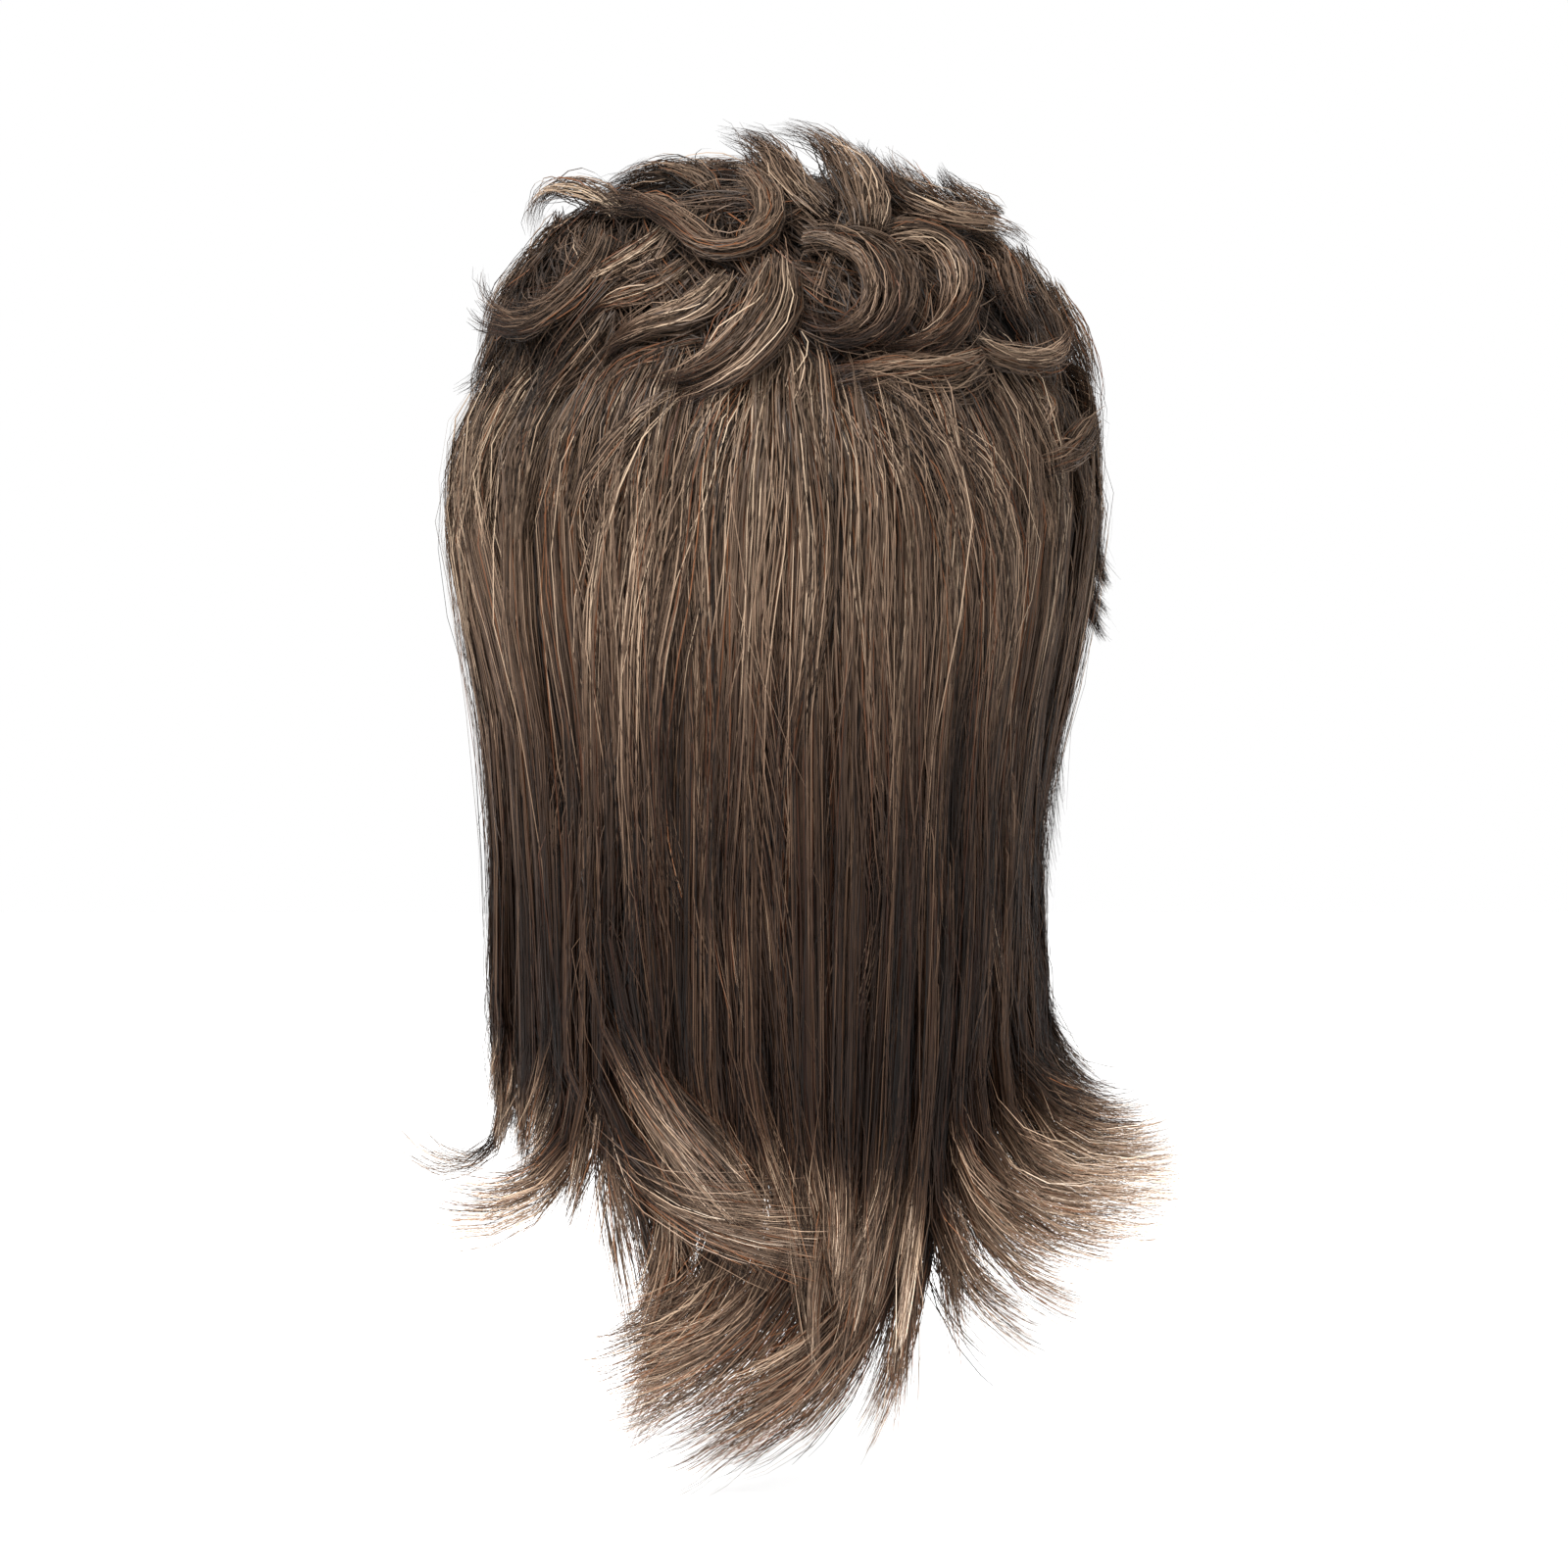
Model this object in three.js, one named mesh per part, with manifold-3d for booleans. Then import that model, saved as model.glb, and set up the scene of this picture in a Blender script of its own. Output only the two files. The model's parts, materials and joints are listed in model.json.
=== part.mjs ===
// A mullet wig: a stretch cap with an elastic band inside its edge, short curls over the crown,
// a short fringe, short layers over the ears, and a long fall down the back with flipped ends.
// Millimetres, +Z up. The wearer faces +Y, and +X is the wearer's right.
// The origin is the highest point inside the cap, where the crown of the head seats.
import * as THREE from "three";
import { mergeVertices } from "three/addons/utils/BufferGeometryUtils.js";
import Module from "manifold-3d";

const wasm = await Module();
wasm.setup();

// Head and cap
const HEAD_BREADTH = 154;
const HEAD_LENGTH = 190;
const CROWN_HEIGHT = 95; // from the crown down to the head's widest level
const NAPE_DROP = 165; // from the crown down to the cap's edge at the nape
const CAP_WALL = 1.6;
const BAND_WIDTH = 12;
const BAND_WALL = 1.4;
const CLEARANCE = 0.4;

// Hair
const HAIR_DEPTH = 20; // backing of the hair, out from the head
const FALL_DROP = 388; // from the crown down to the lowest tips
const LOCK_WIDTH = 26;
const LOCK_THICKNESS = 11;
const RIDGE_HEIGHT = 6; // of the locks that run down the hair
const NOTCH_DEPTH = 26; // between those locks' ends
const FLIP_REACH = 40; // how far the flipped ends stand off or sweep across
const CURL_LENGTH = 100;
const CURL_WIDTH = 24;
const CURL_THICKNESS = 13;
const CURL_LIFT = 8;
const FRONT_THINNING = 0.2; // how much thinner the curls' backing is over the forehead
const CURL_SINK = 5; // how far a curl's middle would lie in its backing without that lift
const FRINGE_DROP = 66; // down to the notches between the fringe's locks
const SIDE_DROP = 98; // the same over the ears

// Facets
const CAP_COLUMNS = 32;
const CAP_ROWS = 6;
const COVER_COLUMNS = 24;
const COVER_ROWS = 4;
const FALL_COLUMNS = 30;
const FALL_ROWS = 8;
const LOCK_RINGS = 5;
const CURL_RINGS = 6;

// The cap's edge, from the nape (0 degrees) past the ear to the forehead (180), as shares of NAPE_DROP
const CAP_EDGE = [
  { turn: 0, drop: 1.0 },
  { turn: 32, drop: 0.97 },
  { turn: 62, drop: 0.84 },
  { turn: 88, drop: 0.6 },
  { turn: 112, drop: 0.69 },
  { turn: 138, drop: 0.43 },
  { turn: 160, drop: 0.3 },
  { turn: 180, drop: 0.27 },
];

// Where the curls' backing ends, as shares of CROWN_HEIGHT
const CROWN_EDGE = [
  { turn: 0, drop: 0.42 },
  { turn: 90, drop: 0.42 },
  { turn: 140, drop: 0.3 },
  { turn: 180, drop: 0.24 },
];

// The curls' backing, by degrees from the top of the head: its depth as a share of HAIR_DEPTH
const CROWN_COVER = [
  { polar: 0, depth: 0.9 },
  { polar: 20, depth: 1.35 },
  { polar: 32, depth: 1.6 },
  { polar: 44, depth: 1.72 },
  { polar: 57, depth: 1.6 },
  { polar: 70, depth: 1.4 },
  { polar: 90, depth: 1.15 },
];

// The hair's outline below the head's widest level, as shares of the way down to the lowest
// tips and of the head's half breadth and half length
const FALL_OUTLINE = [
  { below: 0, wide: 1.0, deep: 1.0 },
  { below: 0.1, wide: 0.94, deep: 0.99 },
  { below: 0.19, wide: 0.855, deep: 0.96 },
  { below: 0.36, wide: 0.82, deep: 0.89 },
  { below: 0.57, wide: 0.82, deep: 0.83 },
  { below: 1.0, wide: 0.82, deep: 0.79 },
];

// The fall's two faces as shares of HAIR_DEPTH, from its root line to its lower edge
const FALL_WALL = [
  { down: 0, outer: 1.3, inner: 0.0 },
  { down: 0.12, outer: 1.35, inner: 0.1 },
  { down: 0.24, outer: 1.25, inner: 0.2 },
  { down: 0.45, outer: 1.2, inner: 0.35 },
  { down: 0.7, outer: 1.12, inner: 0.5 },
  { down: 1.0, outer: 0.85, inner: 0.6 },
];

// The notches along the fall's lower edge, as shares of FALL_DROP
const FALL_EDGE = [
  { turn: -100, drop: 0.6 },
  { turn: -75, drop: 0.69 },
  { turn: -40, drop: 0.735 },
  { turn: 0, drop: 0.76 },
  { turn: 40, drop: 0.78 },
  { turn: 75, drop: 0.72 },
  { turn: 100, drop: 0.62 },
];

// Single locks of the fall. turn is degrees from the middle of the back, root and end are shares
// of FALL_DROP, across, out and hook (the tip's rise) are shares of FLIP_REACH, and wide of LOCK_WIDTH.
const FALL_LOCKS = [
  { turn: -92, root: 0.5, end: 0.745, across: 0.1, out: 0.75, hook: 0.4, wide: 0.6 },
  { turn: -74, root: 0.48, end: 0.73, across: -0.1, out: 0.15, hook: 0.0, wide: 1.2 },
  { turn: -58, root: 0.5, end: 0.76, across: -0.3, out: 0.2, hook: 0.0, wide: 1.2 },
  { turn: -42, root: 0.5, end: 0.8, across: -1.0, out: 0.9, hook: 0.1, wide: 1.2 },
  { turn: -33, root: 0.48, end: 0.82, across: 1.6, out: 0.2, hook: 0.05, wide: 1.4 },
  { turn: -20, root: 0.52, end: 0.81, across: 1.3, out: 0.2, hook: 0.05, wide: 1.2 },
  { turn: 22, root: 0.56, end: 0.86, across: -0.5, out: 0.1, hook: 0.0, wide: 1.3 },
  { turn: 38, root: 0.54, end: 0.84, across: 0.3, out: 0.3, hook: 0.05, wide: 1.3 },
  { turn: 49, root: 0.5, end: 0.8, across: 0.9, out: 0.95, hook: 0.1, wide: 1.4 },
  { turn: 62, root: 0.46, end: 0.765, across: 0.7, out: 1.2, hook: 0.1, wide: 1.3 },
  { turn: 76, root: 0.44, end: 0.735, across: 0.35, out: 1.2, hook: 0.15, wide: 1.2 },
  { turn: 89, root: 0.42, end: 0.7, across: 0.1, out: 1.05, hook: 0.1, wide: 1.0 },
  // the longest hair, under the rest
  { turn: -27, root: 0.66, end: 0.9, across: 0.2, out: 0.0, hook: 0.0, wide: 0.8 },
  { turn: -11, root: 0.66, end: 0.95, across: -1.1, out: 0.05, hook: 0.05, wide: 1.4 },
  { turn: 6, root: 0.68, end: 0.965, across: -1.1, out: 0.1, hook: 0.0, wide: 1.5 },
  { turn: 24, root: 0.68, end: 1.0, across: -0.8, out: 0.1, hook: 0.0, wide: 1.5 },
  { turn: 40, root: 0.66, end: 0.91, across: -0.2, out: 0.1, hook: 0.0, wide: 1.2 },
  // the short layer at the right
  { turn: 88, root: 0.15, end: 0.36, across: 0.0, out: 0.4, hook: 0.05, wide: 0.9 },
];

// Single locks over the right ear; the left side mirrors them. Columns as in FALL_LOCKS.
const SIDE_LOCKS = [
  { turn: 107, root: 0.14, end: 0.34, across: -0.5, out: 0.3, hook: 0.1, wide: 0.9 },
  { turn: 128, root: 0.13, end: 0.33, across: -0.3, out: 0.25, hook: 0.0, wide: 0.9 },
];

// Single locks of the fringe, from the wearer's right to left. Columns as in FALL_LOCKS.
const FRINGE_LOCKS = [
  { turn: 155, root: 0.09, end: 0.25, across: -0.4, out: 0.35, hook: 0.05, wide: 0.8 },
  { turn: 176, root: 0.08, end: 0.245, across: -0.5, out: 0.4, hook: 0.1, wide: 0.9 },
  { turn: 200, root: 0.09, end: 0.25, across: 0.4, out: 0.35, hook: 0.05, wide: 0.8 },
];

// Curls at the back of the crown, as they lie seen square from behind. Each starts across from the
// middle by a share of HEAD_BREADTH / 2 and down from the top of the head by a share of
// CROWN_HEIGHT, and sets off along heading in degrees: 0 is to the right and 90 up. It turns by
// bend over its first half and by hook over its second. long and wide are shares of CURL_LENGTH
// and CURL_WIDTH, and lift (its arch) and tip (its tip's rise) of CURL_LIFT.
const BACK_CURLS = [
  // from left to right
  { across: -0.64, down: 0.02, heading: 260, bend: -54, hook: -122, long: 0.66, wide: 0.6, lift: 0.9, tip: 0.5 },
  { across: -0.86, down: -0.06, heading: 251, bend: -19, hook: -24, long: 0.4, wide: 0.5, lift: 0.6, tip: 0.1 },
  { across: -0.6, down: -0.03, heading: 132, bend: 39, hook: 110, long: 0.42, wide: 0.42, lift: 0.8, tip: 0.4 },
  { across: -0.23, down: -0.06, heading: 106, bend: 81, hook: 16, long: 0.61, wide: 0.5, lift: 0.9, tip: 0.2 },
  { across: -0.19, down: -0.14, heading: 352, bend: -220, hook: 57, long: 1.0, wide: 0.4, lift: 1.1, tip: 0.1 },
  { across: -0.66, down: 0.26, heading: 245, bend: -15, hook: -20, long: 0.5, wide: 0.6, lift: 0.4, tip: 0.0 },
  { across: -0.35, down: 0.34, heading: 250, bend: -10, hook: 25, long: 0.42, wide: 0.6, lift: 0.3, tip: 0.0 },
  { across: -0.15, down: 0.18, heading: 248, bend: -59, hook: 36, long: 0.52, wide: 0.55, lift: 0.7, tip: 0.0 },
  { across: 0.0, down: 0.13, heading: 275, bend: -50, hook: -48, long: 0.66, wide: 0.8, lift: 1.0, tip: 0.1 },
  { across: 0.04, down: 0.38, heading: 289, bend: -36, hook: -22, long: 0.4, wide: 0.5, lift: 0.5, tip: 0.0 },
  { across: 0.07, down: 0.1, heading: 25, bend: -113, hook: -138, long: 0.7, wide: 0.5, lift: 1.1, tip: 0.0 },
  { across: 0.36, down: 0.07, heading: 37, bend: -140, hook: -96, long: 0.85, wide: 0.6, lift: 1.0, tip: 0.0 },
  { across: 0.83, down: 0.44, heading: 213, bend: -25, hook: 0, long: 0.5, wide: 0.6, lift: 0.6, tip: 0.1 },
  { across: 0.75, down: 0.36, heading: 318, bend: 49, hook: 65, long: 0.42, wide: 0.48, lift: 0.8, tip: 0.2 },
  { across: 0.73, down: 0.03, heading: 357, bend: -78, hook: 48, long: 0.48, wide: 0.7, lift: 0.7, tip: 0.0 },
  { across: 1.06, down: 0.11, heading: 298, bend: -3, hook: -18, long: 0.5, wide: 0.65, lift: 0.5, tip: 0.0 },
  { across: 1.0, down: 0.48, heading: 333, bend: -62, hook: -71, long: 0.3, wide: 0.45, lift: 0.7, tip: 0.0 },
  // tufts that stand along the top
  { across: 0.23, down: 0.01, heading: 134, bend: -14, hook: 41, long: 0.45, wide: 0.55, lift: 0.8, tip: 0.8 },
  { across: 0.36, down: 0.09, heading: 80, bend: 43, hook: 48, long: 0.57, wide: 0.75, lift: 0.9, tip: 1.0 },
  { across: 0.8, down: -0.02, heading: 175, bend: -43, hook: -28, long: 0.42, wide: 0.65, lift: 0.8, tip: 0.8 },
  { across: 0.94, down: -0.06, heading: 152, bend: -6, hook: -38, long: 0.3, wide: 0.5, lift: 0.7, tip: 0.8 },
  { across: 0.46, down: -0.1, heading: 317, bend: 45, hook: -42, long: 0.52, wide: 0.48, lift: 0.9, tip: 0.4 },
];

// The other curls, which start by degrees from the middle of the back and by a share of
// CROWN_HEIGHT. Headings are seen from outside, and the other columns are as in BACK_CURLS.
const TOP_CURLS = [
  { turn: -88, drop: 0.24, heading: 240, bend: -40, hook: -60, long: 0.45, wide: 0.7, lift: 0.5, tip: 0.1 },
  { turn: -40, drop: 0.02, heading: 160, bend: 50, hook: 60, long: 0.7, wide: 0.8, lift: 0.6, tip: 0.4 },
  { turn: 150, drop: 0.02, heading: 20, bend: 60, hook: 80, long: 0.85, wide: 1.0, lift: 0.9, tip: 0.3 },
  { turn: -125, drop: 0.07, heading: 190, bend: -60, hook: -80, long: 0.7, wide: 1.0, lift: 0.9, tip: 0.2 },
  { turn: 132, drop: 0.13, heading: 310, bend: 50, hook: 80, long: 0.6, wide: 1.0, lift: 0.9, tip: 0.1 },
  { turn: 175, drop: 0.07, heading: 255, bend: -50, hook: -80, long: 0.6, wide: 1.0, lift: 0.9, tip: 0.1 },
  { turn: -160, drop: 0.1, heading: 285, bend: 60, hook: 80, long: 0.6, wide: 1.0, lift: 0.9, tip: 0.1 },
  { turn: 114, drop: 0.2, heading: 290, bend: -40, hook: -70, long: 0.5, wide: 0.9, lift: 0.7, tip: 0.0 },
  { turn: -112, drop: 0.2, heading: 250, bend: 40, hook: 70, long: 0.5, wide: 0.9, lift: 0.7, tip: 0.0 },
  { turn: 100, drop: 0.08, heading: 0, bend: -50, hook: -60, long: 0.65, wide: 0.9, lift: 0.7, tip: 0.2 },
];

const { degToRad, radToDeg, lerp, smoothstep, clamp } = THREE.MathUtils;
const vec = (x, y, z) => new THREE.Vector3(x, y, z);
const steps = (count) => Array.from({ length: count + 1 }, (_, i) => i / count);

// Reads a table's column at a place between its rows, on a smooth curve through them.
function readTable(rows, key, column, at) {
  const last = rows.length - 1;
  const x = clamp(at, rows[0][key], rows[last][key]);
  const i = clamp(rows.findIndex((row) => row[key] >= x) - 1, 0, last - 1);
  const slope = (k) => {
    const a = rows[Math.max(k - 1, 0)];
    const b = rows[Math.min(k + 1, last)];
    return (b[column] - a[column]) / (b[key] - a[key]);
  };
  const span = rows[i + 1][key] - rows[i][key];
  const t = (x - rows[i][key]) / span;
  const t2 = t * t;
  const t3 = t2 * t;
  return (
    (2 * t3 - 3 * t2 + 1) * rows[i][column] +
    (t3 - 2 * t2 + t) * span * slope(i) +
    (3 * t2 - 2 * t3) * rows[i + 1][column] +
    (t3 - t2) * span * slope(i + 1)
  );
}

// Degrees from the middle of the back, folded to 0..180.
const folded = (turn) => Math.abs(((turn + 540) % 360) - 180);
const capEdge = (turn) => NAPE_DROP * readTable(CAP_EDGE, "turn", "drop", folded(turn));
const crownEdge = (turn) => CROWN_HEIGHT * readTable(CROWN_EDGE, "turn", "drop", folded(turn));
const fallEdge = (turn) => FALL_DROP * readTable(FALL_EDGE, "turn", "drop", turn);

// The head is an ellipsoid, with its top at the origin.
function headNormal(turn, polar) {
  const a = degToRad(turn);
  return vec(
    (Math.sin(polar) * Math.sin(a)) / HEAD_BREADTH,
    (-Math.sin(polar) * Math.cos(a)) / HEAD_LENGTH,
    Math.cos(polar) / (2 * CROWN_HEIGHT),
  ).normalize();
}

// A point this deep over the head, at a polar angle from the crown.
function overHead(turn, polar, depth) {
  const a = degToRad(turn);
  return vec(
    (HEAD_BREADTH / 2) * Math.sin(polar) * Math.sin(a),
    (-HEAD_LENGTH / 2) * Math.sin(polar) * Math.cos(a),
    CROWN_HEIGHT * (Math.cos(polar) - 1),
  ).addScaledVector(headNormal(turn, polar), depth);
}

const coverDepth = (polar, turn = 0) =>
  HAIR_DEPTH * readTable(CROWN_COVER, "polar", "depth", radToDeg(polar)) *
  (1 - FRONT_THINNING * smoothstep(folded(turn), 95, 150));
const polarAt = (drop) => Math.acos(clamp(1 - drop / CROWN_HEIGHT, -1, 1));

// A point in the hair: over the head down to its widest level, and below that on the fall's outline.
function inHair(turn, drop, depth) {
  if (drop <= CROWN_HEIGHT) return overHead(turn, polarAt(drop), depth);
  const below = (drop - CROWN_HEIGHT) / (FALL_DROP - CROWN_HEIGHT);
  const point = overHead(turn, Math.PI / 2, 0);
  point.x *= readTable(FALL_OUTLINE, "below", "wide", below);
  point.y *= readTable(FALL_OUTLINE, "below", "deep", below);
  point.z = -drop;
  return point.addScaledVector(headNormal(turn, Math.PI / 2), depth);
}

// Turns a list of triangles (corner points) into a closed solid.
function solidFrom(triangles) {
  const corners = triangles.flat().flatMap((p) => [p.x, p.y, p.z]);
  const geometry = mergeVertices(
    new THREE.BufferGeometry().setAttribute("position", new THREE.Float32BufferAttribute(corners, 3)),
    1e-3,
  );
  const index = geometry.index.array;
  const kept = [];
  for (let i = 0; i < index.length; i += 3) {
    const [a, b, c] = [index[i], index[i + 1], index[i + 2]];
    if (a !== b && b !== c && c !== a) kept.push(a, b, c);
  }
  const vertProperties = geometry.attributes.position.array;
  return new wasm.Manifold(
    new wasm.Mesh({ numProp: 3, vertProperties, triVerts: new Uint32Array(kept) }),
  );
}

// A wall between two faces. Each column runs down the wall at one turn, as pairs { outer, inner }.
function wall(columns, goesRound) {
  const triangles = [];
  const quad = (a, b, c, d) => triangles.push([a, b, c], [a, c, d]);
  const count = columns.length;
  const rows = columns[0].length - 1;
  for (let i = 0; i < (goesRound ? count : count - 1); i++) {
    const here = columns[i];
    const next = columns[(i + 1) % count];
    for (let j = 0; j < rows; j++) {
      quad(here[j].outer, here[j + 1].outer, next[j + 1].outer, next[j].outer);
      quad(here[j].inner, next[j].inner, next[j + 1].inner, here[j + 1].inner);
    }
    quad(here[0].outer, next[0].outer, next[0].inner, here[0].inner);
    quad(here[rows].outer, here[rows].inner, next[rows].inner, next[rows].outer);
  }
  if (!goesRound) {
    const [first, last] = [columns[0], columns[count - 1]];
    for (let j = 0; j < rows; j++) {
      quad(first[j].outer, first[j].inner, first[j + 1].inner, first[j + 1].outer);
      quad(last[j].outer, last[j + 1].outer, last[j + 1].inner, last[j].inner);
    }
  }
  return solidFrom(triangles);
}

// The polar angles of the cap's rows at a turn, the last three of them along the edge band.
function capRows(turn) {
  const edge = polarAt(capEdge(turn));
  const band = BAND_WIDTH / CROWN_HEIGHT;
  return [...steps(CAP_ROWS).map((down) => (edge - band) * down), edge - band / 2, edge];
}

// A closed ring of wall over the head between two depths, along the polar angles that rowsAt gives.
function shell(outer, inner, count, rowsAt) {
  const turns = steps(count).slice(0, -1).map((share) => 360 * share);
  const columns = turns.map((turn) =>
    rowsAt(turn).map((polar) => ({
      outer: overHead(turn, polar, outer),
      inner: overHead(turn, polar, inner),
    })));
  return wall(columns, true);
}

// The space that the cap and the head fill, with the clearance that the hair keeps to it.
function capSpace() {
  const middle = vec(0, 0, -NAPE_DROP / 2);
  const columns = steps(CAP_COLUMNS).map((share) => {
    const turn = 360 * (share % 1);
    const rows = capRows(turn);
    const edge = rows.pop() + CLEARANCE / CROWN_HEIGHT;
    const outside = [...rows, edge].map((polar) => overHead(turn, polar, CAP_WALL + CLEARANCE));
    return [...outside, overHead(turn, edge, -BAND_WALL - 2 * CLEARANCE)];
  });
  const triangles = [];
  const last = columns[0].length - 1;
  for (let i = 0; i < CAP_COLUMNS; i++) {
    const [here, next] = [columns[i], columns[i + 1]];
    for (let j = 0; j < last; j++) {
      triangles.push([here[j], here[j + 1], next[j + 1]], [here[j], next[j + 1], next[j]]);
    }
    triangles.push([here[last], middle, next[last]]);
  }
  return solidFrom(triangles);
}

// A lock: a strip, four-sided in section, that narrows towards its tip.
function lock(path, width, thickness, grow) {
  const last = path.length - 1;
  const rings = path.map(({ point, out }, i) => {
    const t = i / last;
    const forward = path[Math.min(i + 1, last)].point.clone().sub(path[Math.max(i - 1, 0)].point);
    const side = forward.normalize().cross(out).normalize();
    const full = Math.min(1, 0.5 + 3 * t) * (1 - 0.94 * Math.max(0, (t - 0.3) / 0.7) ** 3);
    side.multiplyScalar((width / 2) * full + 1.5 * grow);
    const rise = out.clone().multiplyScalar((thickness / 2) * full + 1.5 * grow);
    return [point.clone().add(side), point.clone().add(rise), point.clone().sub(side), point.clone().sub(rise)];
  });
  const corners = rings[0].length;
  const [start, end] = [rings[0], [...rings[last]].reverse()];
  const triangles = [start, end].flatMap(([p, q, r, s]) => [[p, q, r], [p, r, s]]);
  for (let a = 0; a < corners; a++) {
    const b = (a + 1) % corners;
    for (let i = 0; i < last; i++) {
      const [p, q] = [rings[i], rings[i + 1]];
      triangles.push([p[a], q[a], q[b]], [p[a], q[b], p[b]]);
    }
  }
  return solidFrom(triangles);
}

// The way of a hanging lock: down the hair at its own turn, and out and across over its length.
function hangingPath({ turn, root, end, across, out, hook }, depth) {
  return steps(LOCK_RINGS).map((t) => {
    const flip = FLIP_REACH * t ** 2.5;
    const drop = FALL_DROP * lerp(root, end, t * (1.35 - 0.35 * t * t));
    const at = turn + radToDeg((across * flip) / (HEAD_LENGTH / 2));
    const point = inHair(at, drop, depth + out * flip);
    point.z += FLIP_REACH * hook * t ** 6;
    return { point, out: headNormal(at, Math.max(polarAt(Math.min(drop, CROWN_HEIGHT)), 0.1)) };
  });
}

// How far the middle of a curl is off the curls' backing at a share of its length.
const curlRise = ({ lift, tip }, t) =>
  CURL_LIFT * (lift * Math.sin(Math.PI * (0.1 + 0.8 * t)) + tip * t * t) - CURL_SINK;

// The way of a curl drawn square from behind: it lies on the backing, and leaves it rather than
// turn sharply over its edge.
function backPath(row) {
  const { across, down, heading, bend, hook, long } = row;
  const fine = 4 * CURL_RINGS;
  const step = (CURL_LENGTH * long) / fine;
  const at = vec((HEAD_BREADTH / 2) * across, 0, -CROWN_HEIGHT * down);
  const sizes = (p, rise) => {
    const unit = vec(p.x / HEAD_BREADTH, p.y / HEAD_LENGTH, (p.z + CROWN_HEIGHT) / (2 * CROWN_HEIGHT));
    const depth = coverDepth(Math.acos(clamp(unit.normalize().z, -1, 1))) + rise;
    return vec(HEAD_BREADTH / 2 + depth, HEAD_LENGTH / 2 + depth, CROWN_HEIGHT + depth);
  };
  const shape = (p, size) => vec(p.x, p.y, p.z + CROWN_HEIGHT).divide(size);
  const points = steps(fine).map((t) => {
    const rise = curlRise(row, t);
    const [far, near] = [at.clone().setY(-HEAD_LENGTH), at.clone().setY(-HAIR_DEPTH / 2)];
    for (let i = 0; i < 24; i++) {
      const middle = far.clone().lerp(near, 0.5);
      (shape(middle, sizes(middle, rise)).length() > 1 ? far : near).copy(middle);
    }
    const angle = degToRad(heading + 2 * (bend * Math.min(t, 0.5) + hook * Math.max(t - 0.5, 0)));
    at.x += step * Math.cos(angle);
    at.z += step * Math.sin(angle);
    return near;
  });
  const reach = points.map((p, i) =>
    Math.min(...points.map((q, j) => q.y + 0.9 * step * Math.abs(i - j))));
  return steps(CURL_RINGS).map((t) => {
    const i = Math.round(t * fine);
    const around = [-2, -1, 0, 1, 2].map((k) => reach[clamp(i + k, 0, fine)]);
    const point = points[i].clone().setY(around.reduce((a, b) => a + b) / 5);
    const size = sizes(point, curlRise(row, t));
    return { point, out: shape(point, size).divide(size).normalize() };
  });
}

// The way of any other curl: it walks over the head, turning as it goes.
function topPath(row) {
  const { turn, drop, heading, bend, hook, long } = row;
  const size = vec(HEAD_BREADTH / 2, HEAD_LENGTH / 2, CROWN_HEIGHT);
  const centre = vec(0, 0, -CROWN_HEIGHT);
  const onHead = (p) => {
    const unit = p.clone().sub(centre).divide(size).normalize();
    return { at: unit.clone().multiply(size).add(centre), out: unit.divide(size).normalize() };
  };
  let { at, out } = onHead(overHead(turn, polarAt(CROWN_HEIGHT * drop), 0));
  const towardsCrown = vec(0, folded(turn) <= 90 ? 1 : -1, 1);
  const up = towardsCrown.addScaledVector(out, -towardsCrown.dot(out)).normalize();
  const right = up.clone().cross(out).normalize();
  const start = degToRad(heading);
  let way = right.multiplyScalar(Math.cos(start)).addScaledVector(up, Math.sin(start));
  const count = CURL_RINGS;
  return steps(count).map((t) => {
    const aside = radToDeg(Math.atan2(at.x / HEAD_BREADTH, -at.y / HEAD_LENGTH));
    const depth = coverDepth(polarAt(-at.z), aside) + curlRise(row, t);
    const here = { point: at.clone().addScaledVector(out, depth), out: out.clone() };
    way.applyAxisAngle(out, degToRad(t < 0.5 ? bend : hook) * (2 / count));
    const step = (CURL_LENGTH * long) / count / (1 + depth / CROWN_HEIGHT);
    ({ at, out } = onHead(at.clone().addScaledVector(way, step)));
    way = way.addScaledVector(out, -way.dot(out)).normalize();
    return here;
  });
}

// A zone of hair between two turns and two drops, with a ridge on every other column that runs
// on below the notches as a lock. face(down) gives the two depths.
function layer({ from, to, columns, rows, top, bottom, face, notch }, grow) {
  const spread = radToDeg(grow / (HEAD_BREADTH / 2));
  const made = steps(columns).map((share, i) => {
    const turn = lerp(from - spread, to + spread, share);
    const crest = grow + (RIDGE_HEIGHT / 2) * (i % 2 ? 1 : -1);
    const low = bottom(turn) + grow + (i % 2 ? notch * (0.8 + 0.2 * Math.sin(2.5 * i)) : 0);
    return steps(rows).map((down) => {
      const drop = lerp(Math.max(top(turn) - grow, 0), low, down);
      const { outer, inner } = face(down);
      return { outer: inHair(turn, drop, outer + crest), inner: innerFace(turn, drop, inner - grow) };
    });
  });
  return wall(made, false);
}

// The hair's inner face: inside the cap's wall down to the cap's edge, then easing out to the free hair.
function innerFace(turn, drop, depth) {
  const edge = capEdge(turn);
  const hidden = overHead(turn, polarAt(Math.min(drop, edge)), -CLEARANCE);
  hidden.z = Math.min(hidden.z, -drop);
  const free = inHair(turn, drop, depth);
  return hidden.lerp(free, smoothstep(drop - edge, 0, 2 * HAIR_DEPTH));
}

const joined = (solids) => solids.reduce((a, b) => a.add(b));

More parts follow.
